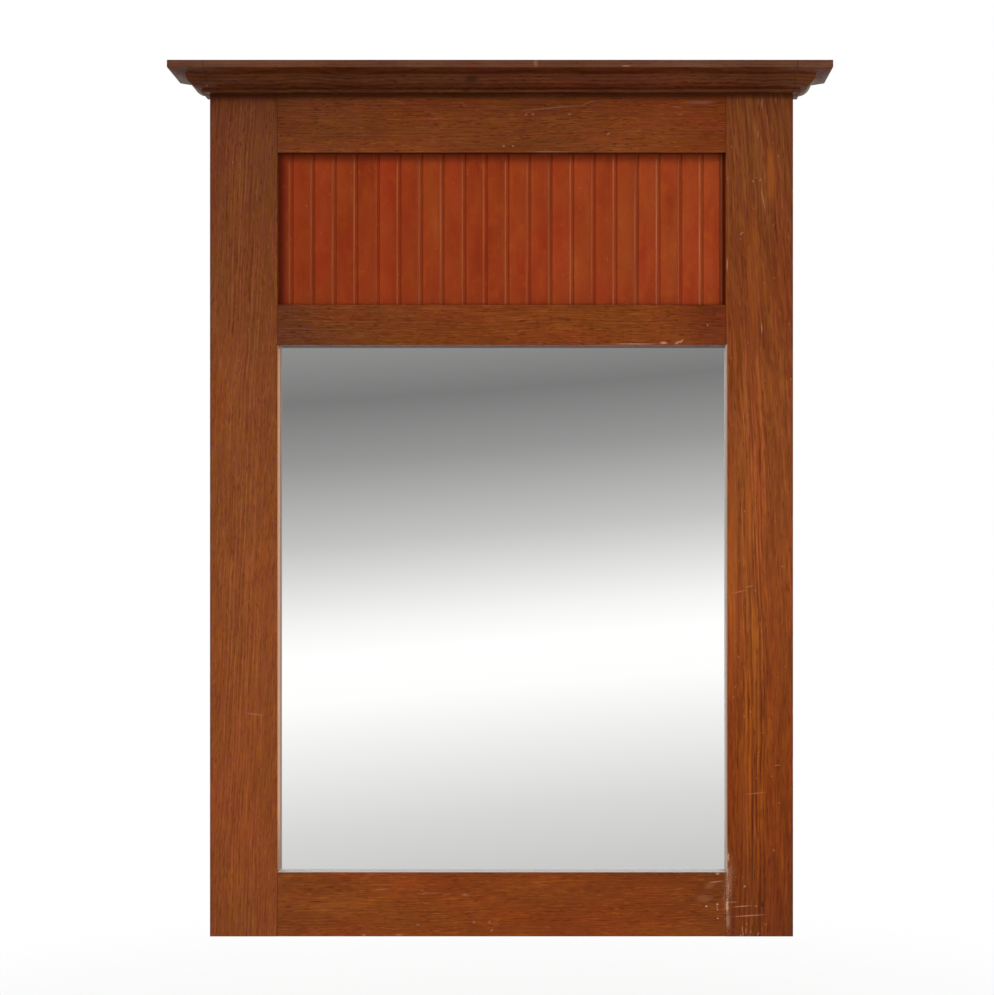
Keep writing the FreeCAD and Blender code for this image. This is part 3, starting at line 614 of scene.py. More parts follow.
@dataclass(frozen=True)
class Oak:
    """Stained open-grained oak.

    Streaks, hairs and clouds say how strongly each layer of noise changes the wood's tone, and short how
    short the fine ones are. Tint says how far the stain strays in colour, and spread how small its patches
    are. Each band is two distances in mm from a line of the front.
    """

    name: str
    grain: Grain
    shades: tuple[Colour, Colour, Colour, Colour]
    log: Log
    start: float
    slant: float = 0.0
    curve: float = 0.0
    comb: Comb | None = None
    streaks: float = 0.5
    hairs: float = 0.34
    short: float = 1.7
    clouds: float = 0.6
    pitted: float = 0.62
    tint: float = 0.75
    spread: tuple[float, float] = (28.0, 7.0)
    run: Run = ()
    pale: tuple[Mark, ...] = ()
    dark: tuple[Mark, ...] = ()
    patches: tuple[Mark, ...] = ()
    flecks: float = 0.0
    # Painted shade under the crown and in the rebates, painted light beside the glass, on a ledge and on
    # outward sides.
    crown_shadow: tuple[float, float] = (0.66, 9.0)
    rebate_shade: float = 0.72
    glass_edge: GlassEdge | None = None
    ledge: bool = False
    dusty: float = 0.0
    lit_sides: bool = False
    roughness: float = 0.42
    shade_places: tuple[float, ...] = (0.1, 0.4, 0.6, 0.9)
    pore_depth: float = 0.1 * MM
    dust_and_light_band: Band = (-10.0, -8.6)
    rebate_shade_band: Band = (0.4, 1.6)
    seam_band: Band = (1.1, 0.2)
    arris_shade_band: Band = (-3.2, -0.4)
    side_band: Band = (-1.0, -0.1)
    front_band: Band = (1.4, 0.2)
    play: float = 0.5 * MM
    drift: float = 9.0 * MM
    drift_rate: float = 7.0
    orange_share: float = 0.8
    pore_gathering: float = -0.22
    late_wood_closing: float = 0.035
    fibres: float = 0.5
    hair_height: float = 0.5
    pore_roughness: float = 0.25
    streak_roughness: float = 0.25
    cloudy_dust: float = 0.9
    ledge_light: float = 0.96
    joint_lines: float = 0.34
    arris_shade: float = 0.4
    rubbed_and_lit: float = 0.55
    end_grain: float = 0.6
    back_runs: float = 0.36
    back_bare: float = 0.9

    def material(self) -> bpy.types.Material:
        """Build the finish.

        Returns:
            The material for one piece of the frame.
        """
        recipe = Recipe(self.name)
        side, depth, along = (recipe.parts[number] for number in self.grain.value)
        drift = recipe.noise(recipe.vector(self.start, 0.0, recipe.times(along, self.drift_rate)))
        lean = recipe.times(along, recipe.plus(recipe.times(along, self.curve), self.slant))
        across = recipe.plus(side, recipe.plus(lean, recipe.centred(drift, self.drift)))
        tone = self.log.rings(recipe, self.start, across, depth, along)
        cell = recipe.vector(across, depth, along)
        streak = recipe.pattern(cell, STREAKS, self.start, self.short)
        hair = recipe.pattern(cell, HAIRS, self.start, self.short)
        cloud = recipe.pattern(cell, CLOUDS, self.start)
        level = recipe.plus(recipe.centred(tone, self.log.contrast), 0.5)
        for layer, gain in ((streak, self.streaks), (hair, self.hairs), (cloud, self.clouds)):
            level = recipe.plus(level, recipe.centred(layer, gain))
        if self.comb:
            shade = recipe.pattern(cell, COMB_SHADE, self.start)
            level = recipe.plus(level, self.comb.tone(recipe, side, across, along, shade))
        recipe.colour = recipe.ramp(level, zip(self.shade_places, self.shades))
        self.tints(recipe, cell)
        pore = self.pores(recipe, cell, tone)
        if self.run:
            recipe.grade(along, self.run)
        if self.dusty:
            self.dust_and_light(recipe, cloud)
        else:
            self.shade_and_light(recipe)
        self.wear(recipe)
        self.seams(recipe)
        self.edges(recipe)
        self.bare_back(recipe, streak)
        recipe.bump(recipe.minus(recipe.times(hair, self.hair_height), pore), self.pore_depth)
        rough = recipe.plus(recipe.times(pore, self.pore_roughness), self.roughness)
        rough = recipe.plus(recipe.centred(streak, self.streak_roughness), rough)
        return recipe.finish(rough, Specular_IOR_Level=WAX_LEVEL, Specular_Tint=WAX_GLOSS)

    def tints(self, recipe: Recipe, cell: Feed) -> None:
        """Let the stain lie olive in some places, red in others, orange in a few, and mottled all over.

        Args:
            recipe: The material.
            cell: Place in the wood, as across, depth and along.
        """
        wide, long = self.spread
        broad = Pattern((wide, 9.0, long), (6.0, 6.0, 6.0), 4.0, 0.55)
        narrow = Pattern((wide * 1.2, 9.0, long * 0.9), (11.0, 11.0, 11.0), 3.0, 0.55)
        first = recipe.pattern(cell, broad, self.start)
        second = recipe.pattern(cell, narrow, self.start)
        recipe.lay(OLIVE_TINT, recipe.step(first, *OLIVE_EDGE), self.tint, "MULTIPLY")
        recipe.lay(RED_TINT, recipe.step(first, *RED_EDGE), self.tint, "MULTIPLY")
        recipe.lay(ORANGE_TINT, recipe.step(second, *ORANGE_EDGE), self.tint * self.orange_share, "MULTIPLY")
        recipe.grade(recipe.pattern(cell, MOTTLE, self.start), MOTTLE_TINTS)

    def pores(self, recipe: Recipe, cell: Feed, tone: Feed) -> Socket:
        """Short dark pores, most of them in the early wood, and short pale fibres.

        Args:
            recipe: The material.
            cell: Place in the wood, as across, depth and along.
            tone: The rings' tone.

        Returns:
            Where the pores are.
        """
        dash = recipe.pattern(cell, PORES, self.start, self.short)
        gather = recipe.pattern(cell, PORE_GROUPS, self.start)
        edge = recipe.minus(dash, recipe.centred(gather, self.pore_gathering))
        edge = recipe.minus(edge, recipe.times(tone, self.late_wood_closing))
        pore = recipe.step(edge, *PORE_EDGE)
        recipe.lay(self.shades[0], pore, self.pitted)
        recipe.lay(self.shades[3], recipe.spots(cell, FIBRES, self.start, self.short), self.fibres)
        return pore

    def dust_and_light(self, recipe: Recipe, cloud: Feed) -> None:
        """Paint light on the moulding's outward ends, and lay a dusty colour on its top band.

        Args:
            recipe: The material.
            cloud: Soft noise that breaks the dusty colour up.
        """
        if self.lit_sides:
            # Painted light on the outward faces.
            outward = recipe.step(recipe.unsigned(recipe.facing[0]), *OUTWARD)
            recipe.lay(LIT_SIDE_TINT, outward, way="MULTIPLY")
        fillet = recipe.off(recipe.parts[2], FRONT.top, self.dust_and_light_band)
        recipe.lay(DUST, fillet, recipe.plus(recipe.centred(cloud, self.cloudy_dust), self.dusty))

    def shade_and_light(self, recipe: Recipe) -> None:
        """Paint the crown's shadow below it and shade in the rebates, and near-white light on a ledge.

        Args:
            recipe: The material.
        """
        x, y, z = recipe.parts
        darkening, reach = self.crown_shadow
        # Painted shadow below the crown, and painted shade in the rebates.
        under = recipe.off(z, FRONT.crown_low, (-reach, -0.2 * reach))
        rebate = recipe.off(y, FRONT.front, self.rebate_shade_band)
        within = recipe.sum("LESS_THAN", recipe.unsigned(x), FRONT.inner - self.play)
        within = recipe.times(within, recipe.sum("LESS_THAN", y, FRONT.board_face + self.play))
        sunk = recipe.times(recipe.times(rebate, within), self.rebate_shade)
        recipe.lay(DARK_STAIN_AND_SHADE, recipe.larger(recipe.times(under, darkening), sunk))
        # Painted light: near-white on the ledge's top face, for the light on it and from the glass.
        if self.ledge:
            upward = recipe.step(recipe.facing[2], *UPWARD)
            recipe.lay(PALE_PAINTED_LIGHT, recipe.times(upward, within), self.ledge_light)

    def wear(self, recipe: Recipe) -> None:
        """Lay broad patches, dark stains, pale scratches and flecks over the stain.

        Args:
            recipe: The material.
        """
        ragged = recipe.pattern(recipe.place, FRAYING)
        if self.patches:
            recipe.lay(WARM_PATCH, marks_mask(recipe, self.patches, 0.5))
        if self.dark:
            recipe.lay(DARK_STAIN_AND_SHADE, marks_mask(recipe, self.dark, ragged))
        if self.pale:
            recipe.lay(BARE_SCRATCH, marks_mask(recipe, self.pale, ragged))
        if self.flecks:
            recipe.lay(BARE_SCRATCH, recipe.spots(recipe.place, FLECKS, self.start), self.flecks)

    def seams(self, recipe: Recipe) -> None:
        """Darken the joint lines between uprights and rails.

        Args:
            recipe: The material.
        """
        x, _, z = recipe.parts
        line = recipe.off(recipe.unsigned(recipe.minus(recipe.unsigned(x), FRONT.inner)), 0.0, self.seam_band)
        rails = ((FRONT.foot, FRONT.glass_low), (FRONT.glass_high, FRONT.panel_low),
                 (FRONT.panel_high, FRONT.crown_low))
        inside: Feed = 0.0
        for low, high in rails:
            above = recipe.sum("GREATER_THAN", z, low)
            inside = recipe.larger(inside, recipe.times(above, recipe.sum("LESS_THAN", z, high)))
        recipe.lay(DARK_STAIN_AND_SHADE, line, recipe.times(inside, self.joint_lines))

    def edges(self, recipe: Recipe) -> None:
        """Paint shade along the outer arrises and rub them, stain the end grain deeply, and paint light on
        the edges beside the glass.

        Args:
            recipe: The material.
        """
        x, y, _ = recipe.parts
        side = recipe.unsigned(x)
        on_frame = recipe.sum("LESS_THAN", side, FRONT.outer + self.play)
        # Painted shade: the front darkens towards the outer arris.
        arris_shade = recipe.times(recipe.off(side, FRONT.outer, self.arris_shade_band), self.arris_shade)
        recipe.lay(DARK_STAIN_AND_SHADE, arris_shade, on_frame)
        near_side = recipe.times(recipe.off(side, FRONT.outer, self.side_band), on_frame)
        near_front = recipe.off(y, FRONT.front, self.front_band)
        rubbed_and_lit = recipe.spots(recipe.place, RUBBING)
        recipe.lay(BARE_SCRATCH, recipe.times(recipe.times(near_side, near_front), rubbed_and_lit), self.rubbed_and_lit)
        sawn = recipe.step(recipe.unsigned(recipe.facing[self.grain.value[2]]), *END_GRAIN)
        recipe.lay(self.shades[0], sawn, self.end_grain)
        if self.glass_edge:
            self.glass_edge.lay(recipe)

    def bare_back(self, recipe: Recipe, streak: Feed) -> None:
        """Leave the face that nobody sees unstained, with runs of stain along its edges.

        Args:
            recipe: The material.
            streak: Noise that runs with the grain.
        """
        runs = recipe.times(recipe.spots(recipe.place, BACK_STAINS), self.back_runs)
        raw = recipe.blend(runs, recipe.ramp(streak, BACK_RAMP), self.shades[2])
        recipe.lay(raw, recipe.step(recipe.facing[1], *BEHIND), self.back_bare)


BEAD_TINT = tint(0.90, 1.02, 1.02)
BOARD_LEANS = ((0.1, tint(1.03, 0.79, 0.92)), (0.5, NO_TINT), (0.9, tint(0.98, 1.22, 1.0)))
# Tints across the panel, fitted to its measured colour; the rise to the right is painted light.
PANEL_RUN = ((-0.29, tint(0.93, 0.86, 0.92)), (-0.12, tint(0.95, 0.88, 0.92)), (0.0, tint(1.02, 0.96, 1.0)),
             (0.12, tint(0.99, 0.94, 1.06)), (0.29, tint(1.10, 1.18, 1.38)))
BOARD_CLOUDS = Pattern((40.0, 1.0, 14.0), detail=4.0, rough=0.6)
BOARD_FIBRES = Pattern((420.0, 1.0, 11.0), detail=3.0, rough=0.6)
BOARD_BLOTCHES = Pattern((70.0, 1.0, 55.0), (5.0, 0.0, 2.0), 3.0, 0.6, (0.5, 0.72))
BOARD_DRIFT = Pattern((26.0, 1.0, 9.0), (8.0, 0.0, 4.0), 3.0, 0.6)
BOARD_SPECKS = Pattern((260.0, 260.0, 260.0), detail=1.0, edge=(0.74, 0.8))
BOARD_MOTTLE = Pattern((330.0, 1.0, 520.0), (1.0, 0.0, 7.0), 2.0, 0.6)


@dataclass(frozen=True)
class RedBoard:
    """Smooth red-stained boards, unstained behind, with painted light and a darker line along their beads.

    Places across a bead are in mm from its left edge, some with the softness of their ends. Each band is two
    distances in mm from a line.
    """

    name: str = "red_board"
    first_joint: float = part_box("bead_board_02")[0].x + 5.0 * MM
    cover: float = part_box("bead_board_03")[0].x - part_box("bead_board_02")[0].x
    stops: Run = ((0.05, stain(122, 36, 10)), (0.4, stain(142, 52, 18)),
                  (0.62, stain(150, 59, 22)), (0.95, stain(164, 74, 30)))
    bead: Triple = (0.0, 6.4, 0.8)
    next_bead: Band = (26.6, 27.6)
    notch: Band = (20.0, 21.0)
    # Painted highlight along each bead's left shoulder, and a darker line along its right half.
    highlight_line: Triple = (0.0, 1.5, 0.3)
    dark_line_span: Triple = (2.8, 4.0, 0.4)
    notch_band: Band = (0.25, 0.9)
    back_band: Band = (-1.0, -0.2)
    # Painted shade along the panel's edges, where the frame shades it.
    left_shade: Band = (15.0, 3.0)
    right_shade: Band = (-8.0, -3.0)
    top_shade: Band = (-16.0, -1.0)
    low_shade: Band = (4.0, 0.0)
    fibre_depth: float = 0.04 * MM
    blotch: Colour = stain(158, 68, 16)
    speck: Colour = stain(176, 110, 70)
    # Painted light: notch colours lighter than the boards, offsetting the shade in the notches.
    lit_notch_before: Colour = stain(190, 92, 46)
    lit_notch_after: Colour = stain(150, 60, 28)
    # Painted highlight colour for the beads' shoulders.
    highlight_colour: Colour = stain(184, 106, 68)
    dark_line_colour: Colour = stain(84, 32, 14)
    # Painted shade colour for the panel's edges.
    edge_shade: Colour = stain(84, 18, 4)
    board_seed: float = 3.7
    fibre_level: float = 0.3
    board_level: float = 0.16
    drift: float = 1.7
    flat_lean: float = 0.18
    cup_light_start: float = 1.08
    cup_light_fall: float = 0.15
    blotches: float = 0.5
    specks: float = 0.45
    mottle: float = 0.42
    bead_share: float = 0.8
    lit_notch_shares: Band = (0.85, 0.8)
    breaks: Band = (2.4, 0.76)
    highlight_shares: Band = (0.7, 0.45)
    dark_line_shares: Band = (0.95, 0.6)
    left_share: float = 1.15
    top_share: float = 0.72
    low_share: float = 0.6
    painted_shade_share: float = 0.72
    roughness: float = 0.33
    cloud_roughness: float = 0.2

    def material(self) -> bpy.types.Material:
        """Build the finish.

        Returns:
            The material that all the boards share, a little different on each.
        """
        recipe = Recipe(self.name)
        x, y, z = recipe.parts
        count = recipe.sum("DIVIDE", recipe.minus(x, self.first_joint), self.cover / 2)
        share = recipe.sum("FRACT", count)
        board = recipe.sum("FLOOR", recipe.times(count, 0.5))
        cell = recipe.vector(x, recipe.times(board, self.board_seed), z)
        cloud = recipe.pattern(cell, BOARD_CLOUDS)
        fibre = recipe.pattern(cell, BOARD_FIBRES)
        level = recipe.plus(recipe.centred(fibre, self.fibre_level), 0.5)
        level = recipe.plus(recipe.centred(cloud, 1.0), level)
        level = recipe.plus(level, recipe.centred(recipe.luck(board), self.board_level))
        recipe.colour = recipe.ramp(level, self.stops)
        flat = recipe.luck(recipe.sum("FLOOR", count))
        drift = recipe.centred(recipe.pattern(cell, BOARD_DRIFT), self.drift)
        lean = recipe.plus(recipe.centred(flat, self.flat_lean), 0.5)
        recipe.grade(recipe.plus(drift, lean), BOARD_LEANS)
        recipe.lay(self.blotch, recipe.spots(cell, BOARD_BLOTCHES), self.blotches)
        # Painted light: each half board brighter at its left, darker towards its right, as cupped boards
        # catch the light.
        light = recipe.minus(self.cup_light_start, recipe.times(share, self.cup_light_fall))
        recipe.colour = recipe.scaled(recipe.colour, light)
        self.beads(recipe, recipe.times(share, self.cover / 2 / MM), fibre, flat)
        # Painted light: the panel brighter and paler towards the right.
        recipe.grade(x, PANEL_RUN)
        self.age(recipe, cloud)
        recipe.lay(self.speck, recipe.spots(recipe.place, BOARD_SPECKS), self.specks)
        uneven = recipe.plus(recipe.centred(recipe.pattern(recipe.place, BOARD_MOTTLE), self.mottle), 1.0)
        recipe.colour = recipe.scaled(recipe.colour, uneven)
        recipe.lay(recipe.ramp(fibre, BACK_RAMP), recipe.off(y, FRONT.board_back, self.back_band))
        recipe.bump(recipe.centred(fibre, 1.0), self.fibre_depth)
        rough = recipe.plus(recipe.centred(cloud, self.cloud_roughness), self.roughness)
        return recipe.finish(rough, Specular_IOR_Level=WAX_LEVEL, Specular_Tint=WAX_GLOSS)

    def beads(self, recipe: Recipe, past: Feed, fibre: Feed, luck: Feed) -> None:
        """Tint the beads, paint light in their notches and a highlight on each bead's left shoulder, and lay
        a darker line along its right half.

        Args:
            recipe: The material.
            past: How far right of a bead's left edge a place is, in mm.
            fibre: Noise that breaks the lines up.
            luck: How strong one bead's painted highlight is and how faint its darker line, 0 to 1.
        """
        gain, middle = self.breaks
        broken = recipe.plus(recipe.centred(fibre, gain), middle, clamp=True)
        bead = recipe.larger(recipe.band(past, *self.bead), recipe.step(past, *self.next_bead))
        recipe.lay(BEAD_TINT, bead, self.bead_share, "MULTIPLY")
        # Painted light: the notches lighter, offsetting their own shade, the one before each bead most.
        deep = recipe.off(recipe.parts[1], FRONT.board_face, self.notch_band)
        low, high = self.notch
        recipe.lay(self.lit_notch_before, recipe.times(deep, recipe.step(past, low, high)), self.lit_notch_shares[0])
        recipe.lay(self.lit_notch_after, recipe.times(deep, recipe.step(past, high, low)), self.lit_notch_shares[1])
        # Painted highlight along each bead's left shoulder, stronger on some beads than others.
        gain, least = self.highlight_shares
        rubbed_and_lit = recipe.times(recipe.band(past, *self.highlight_line), broken)
        recipe.lay(self.highlight_colour, rubbed_and_lit, recipe.plus(recipe.times(luck, gain), least, clamp=True))
        # A darker line along each bead's right half, fainter on some beads than others.
        most, loss = self.dark_line_shares
        darkening = recipe.times(recipe.band(past, *self.dark_line_span), broken)
        recipe.lay(self.dark_line_colour, darkening, recipe.minus(most, recipe.times(luck, loss)))

    def age(self, recipe: Recipe, cloud: Feed) -> None:
        """Paint shade along the panel's edges, where the frame shades the sunk boards, most of it at the left
        and the top.

        Args:
            recipe: The material.
            cloud: Soft noise that breaks the painted shade up.
        """
        x, _, z = recipe.parts
        left = recipe.times(recipe.off(x, -FRONT.inner, self.left_shade), self.left_share)
        right = recipe.off(x, FRONT.inner, self.right_shade)
        top = recipe.times(recipe.off(z, FRONT.panel_high, self.top_shade), self.top_share)
        low = recipe.times(recipe.off(z, FRONT.panel_low, self.low_shade), self.low_share)
        painted_shade = recipe.larger(recipe.larger(left, right), recipe.larger(top, low))
        recipe.lay(self.edge_shade, painted_shade, recipe.plus(recipe.centred(cloud, 0.5), self.painted_shade_share))


@dataclass(frozen=True)
class Silvering:
    """Looking glass: silver seen through clear glass, with ground edges and painted behind.

    Each band is two distances in mm from an edge of the opening.
    """

    name: str = "looking_glass"
    haze: Pattern = Pattern((3.0, 1.0, 3.0), detail=4.0, rough=0.7)
    ground: Run = ((0.3, stain(120, 150, 140)), (0.7, stain(150, 178, 168)))
    paint: Run = ((0.3, stain(92, 96, 98)), (0.7, stain(110, 113, 114)))
    silver: Colour = stain(254, 254, 253)
    tarnish: Colour = stain(120, 112, 106)
    # Painted reflection: the upright's side, seen in shade in the glass, as a dull brownish strip along the
    # left edge.
    grime_and_shade: Colour = stain(150, 124, 106)
    # Painted reflection: the lit ledge seen in the glass, as a dull near-white band along the foot.
    dust_and_light: Colour = stain(204, 203, 201)
    roughness: float = 0.45
    shade_strip_inner: Band = (4.6, 4.0)
    shade_strip_outer: Band = (1.3, 1.9)
    dust_and_light_band: Band = (2.6, 2.0)
    head_inner: Band = (-3.2, -2.6)
    head_outer: Band = (-0.9, -1.4)
    squarely: Band = (0.9, 0.98)
    grime_and_shade_share: float = 0.92
    foot_light_share: float = 0.85
    tarnish_share: float = 0.7
    smear_edge: Band = (0.55, 0.8)
    smear_roughness: float = 0.008

    def material(self) -> bpy.types.Material:
        """Build the finish.

        Returns:
            The material of the pane.
        """
        recipe = Recipe(self.name)
        x, _, z = recipe.parts
        start, end = self.squarely
        forward = recipe.step(recipe.facing[1], -start, -end)
        behind = recipe.step(recipe.facing[1], start, end)
        haze = recipe.pattern(recipe.place, self.haze)
        rest = recipe.blend(behind, recipe.ramp(haze, self.ground), recipe.ramp(haze, self.paint))
        # Painted reflection: a dull strip along the left edge for the upright's shaded side seen in the
        # glass.
        grime_and_shade = recipe.times(recipe.off(x, -FRONT.inner, self.shade_strip_inner),
                             recipe.off(x, -FRONT.inner, self.shade_strip_outer))
        grime_and_shade = recipe.times(grime_and_shade, self.grime_and_shade_share)
        # Painted reflection: a dull near-white band along the foot for the lit ledge seen in the glass.
        dust_and_light = recipe.times(recipe.off(z, FRONT.glass_low, self.dust_and_light_band), self.foot_light_share)
        head = recipe.times(recipe.off(z, FRONT.glass_high, self.head_inner),
                            recipe.off(z, FRONT.glass_high, self.head_outer))
        recipe.colour = self.silver
        recipe.lay(self.tarnish, head, self.tarnish_share)
        recipe.lay(self.grime_and_shade, grime_and_shade)
        recipe.lay(self.dust_and_light, dust_and_light)
        recipe.colour = recipe.blend(forward, rest, recipe.colour)
        # Where the painted strip and band lie, the glass is dull; elsewhere it is silvered.
        silvered = recipe.minus(1.0, recipe.larger(grime_and_shade, dust_and_light))
        recipe.feed(recipe.shader.inputs["Metallic"], recipe.times(forward, silvered))
        rough = recipe.minus(self.roughness, recipe.times(forward, self.roughness))
        smear = recipe.times(recipe.step(haze, *self.smear_edge), self.smear_roughness)
        return recipe.finish(recipe.plus(rough, smear))


WOOD_WARP = Pattern((4.0, 4.0, 1.6))
WOOD_BANDS = Pattern((85.0, 60.0, 3.2), detail=4.0, rough=0.62)
WOOD_FIBRES = Pattern((900.0, 700.0, 22.0), rough=0.6)
WOOD_GRIME = Pattern((6.0, 6.0, 6.0), detail=4.0, rough=0.65, edge=(0.48, 0.75))


@dataclass(frozen=True)
class PaleWood:
    """Bare wood behind the frame: pine strips or a plywood board."""

    name: str
    grain: Grain
    shades: tuple[Colour, Colour, Colour]
    start: float
    shade_places: Triple = (0.15, 0.5, 0.85)
    grime_and_shade: Colour = stain(98, 74, 48)
    grime_and_shade_share: float = 0.22
    ring_level: float = 1.4
    fibre_level: float = 0.85
    roughness: float = 0.62
    ring_roughness: float = 0.2
    warp: float = 50.0 * MM
    fibre_depth: float = 0.1 * MM

    def material(self) -> bpy.types.Material:
        """Build the finish.

        Returns:
            The material of one bare piece.
        """
        recipe = Recipe(self.name)
        across, depth, along = (recipe.parts[number] for number in self.grain.value)
        cell = recipe.vector(across, depth, along)
        warp = recipe.centred(recipe.pattern(cell, WOOD_WARP, self.start), self.warp)
        bent = recipe.vector(recipe.plus(across, warp), depth, along)
        rings = recipe.pattern(bent, WOOD_BANDS, self.start)
        fibre = recipe.pattern(cell, WOOD_FIBRES, self.start)
        level = recipe.plus(recipe.centred(fibre, self.fibre_level), 0.5)
        level = recipe.plus(recipe.centred(rings, self.ring_level), level)
        recipe.colour = recipe.ramp(level, zip(self.shade_places, self.shades))
        recipe.lay(self.grime_and_shade, recipe.spots(recipe.place, WOOD_GRIME, self.start), self.grime_and_shade_share)
        recipe.bump(fibre, self.fibre_depth)
        return recipe.finish(recipe.plus(recipe.centred(rings, self.ring_roughness), self.roughness))


FILM_MOTTLE = Pattern((420.0, 420.0, 420.0), detail=4.0, rough=0.7)
STEEL_RUB = Pattern((2600.0, 2600.0, 160.0), detail=1.0)
DULL_SPOTS = Pattern((160.0, 160.0, 160.0), (4.0, 1.0, 9.0), 3.0, edge=(0.6, 0.72))


@dataclass(frozen=True)
class PlatedSteel:
    """Zinc-plated or bright steel, mottled, with dull spots."""

    name: str
    bright: Colour
    dull: Colour
    roughness: float
    spot: Colour = stain(112, 98, 84)
    film_places: Band = (0.3, 0.62)
    spot_share: float = 0.4
    spot_roughness: float = 0.2
    film_roughness: float = 0.25
    metal: float = 0.95
    rub_depth: float = 0.01 * MM

    def material(self) -> bpy.types.Material:
        """Build the finish.

        Returns:
            The material of the steel fittings.
        """
        recipe = Recipe(self.name)
        mottle = recipe.pattern(recipe.place, FILM_MOTTLE)
        spots = recipe.spots(recipe.place, DULL_SPOTS)
        recipe.colour = recipe.ramp(mottle, zip(self.film_places, (self.dull, self.bright)))
        recipe.lay(self.spot, spots, self.spot_share)
        rough = recipe.plus(recipe.times(spots, self.spot_roughness), self.roughness)
        recipe.bump(recipe.pattern(recipe.place, STEEL_RUB), self.rub_depth)
        rough = recipe.plus(recipe.centred(mottle, self.film_roughness), rough)
        return recipe.finish(rough, Metallic=self.metal)


@dataclass(frozen=True)
class Rubber:
    """Dull black rubber, a little dusty."""

    name: str = "dusty_rubber"
    dust_and_light: Pattern = Pattern((500.0, 500.0, 500.0), detail=4.0, rough=0.7)
    dust_depth: float = 0.05 * MM
    roughness: float = 0.72
    dust_roughness: float = 0.2
    gloss: float = 0.3
    shades: Run = ((0.35, stain(26, 26, 27)), (0.7, stain(62, 59, 55)))

    def material(self) -> bpy.types.Material:
        """Build the finish.

        Returns:
            The material of the bumpers.
        """
        recipe = Recipe(self.name)
        dust_and_light = recipe.pattern(recipe.place, self.dust_and_light)
        recipe.colour = recipe.ramp(dust_and_light, self.shades)
        recipe.bump(dust_and_light, self.dust_depth)
        rough = recipe.plus(recipe.centred(dust_and_light, self.dust_roughness), self.roughness)
        return recipe.finish(rough, Specular_IOR_Level=self.gloss)


def take(piece: bpy.types.Object) -> None:
    """Select one piece alone.

    Args:
        piece: The piece.
    """
    bpy.ops.object.select_all(action="DESELECT")
    piece.select_set(True)
    bpy.context.view_layer.objects.active = piece


def settle(piece: bpy.types.Object) -> None:
    """Put a piece's place into its mesh, close its seams, turn its faces outwards and shade it.

    Args:
        piece: The piece.
    """
    take(piece)
    bpy.ops.object.transform_apply(location=True, rotation=True, scale=True)
    bpy.ops.object.mode_set(mode="EDIT")
    bpy.ops.mesh.select_all(action="SELECT")
    bpy.ops.mesh.remove_doubles(threshold=SEAM_GAP)
    bpy.ops.mesh.normals_make_consistent(inside=False)
    bpy.ops.object.mode_set(mode="OBJECT")
    bpy.ops.object.shade_smooth_by_angle(angle=SMOOTH_ANGLE)


def soften(piece: bpy.types.Object, width: float, segments: int = 2, angle: float = 30.0) -> None:
    """Round every sharp edge of a piece.

    Args:
        piece: The piece.
        width: Width of the rounding in metres.
        segments: Faces across it.
        angle: Edges sharper than this, in degrees, are rounded.
    """
    take(piece)
    rounding = piece.modifiers.new("eased_edges", "BEVEL")
    rounding.width = width
    rounding.segments = segments
    rounding.limit_method = "ANGLE"
    rounding.angle_limit = math.radians(angle)
    rounding.use_clamp_overlap = True
    bpy.ops.object.modifier_apply(modifier=rounding.name)


def cut(piece: bpy.types.Object, cutter: bpy.types.Object) -> None:
    """Take a cutter's shape out of a piece, and throw the cutter away.

    Args:
        piece: The piece.
        cutter: The shape that is taken out.
    """
    take(piece)
    sinking = piece.modifiers.new("recess", "BOOLEAN")
    sinking.operation = "DIFFERENCE"
    sinking.solver = "EXACT"
    sinking.object = cutter
    bpy.ops.object.modifier_apply(modifier=sinking.name)
    bpy.data.objects.remove(cutter)


def join(pieces: Sequence[bpy.types.Object], name: str) -> bpy.types.Object:
    """Make several pieces one.

    Args:
        pieces: The pieces.
        name: Name of the joined piece.

    Returns:
        The joined piece.
    """
    take(pieces[0])
    for piece in pieces:
        piece.select_set(True)
    bpy.ops.object.join()
    pieces[0].name = name
    return pieces[0]


def cylinder(radius: float, depth: float, place: Sequence[float], sides: int) -> bpy.types.Object:
    """Model a cylinder whose axis points at the wall.

    Args:
        radius: Its radius.
        depth: Its length.
        place: Its middle.
        sides: Faces round it.

    Returns:
        The cylinder.
    """
    bpy.ops.mesh.primitive_cylinder_add(vertices=sides, radius=radius, depth=depth, location=place,
                                        rotation=(RIGHT_ANGLE, 0.0, 0.0))
    piece = bpy.context.object
    settle(piece)
    return piece


def mark_faces(piece: bpy.types.Object, sign: float) -> None:
    """Select the faces of a piece that look along the wall's axis, and go on in edit mode.

    Args:
        piece: The piece.
        sign: 1 for those that look at the wall, -1 for those that look away from it.
    """
    take(piece)
    bpy.ops.object.mode_set(mode="EDIT")
    bpy.ops.mesh.select_mode(type="FACE")
    bpy.ops.mesh.select_all(action="DESELECT")
    bpy.ops.object.mode_set(mode="OBJECT")
    for face in piece.data.polygons:
        face.select = face.normal.y * sign > SQUARELY
    bpy.ops.object.mode_set(mode="EDIT")


def pull(distance: float) -> None:
    """Pull the marked faces out along the wall's axis."""
    bpy.ops.mesh.extrude_region_move(TRANSFORM_OT_translate={"value": (0.0, distance, 0.0)})


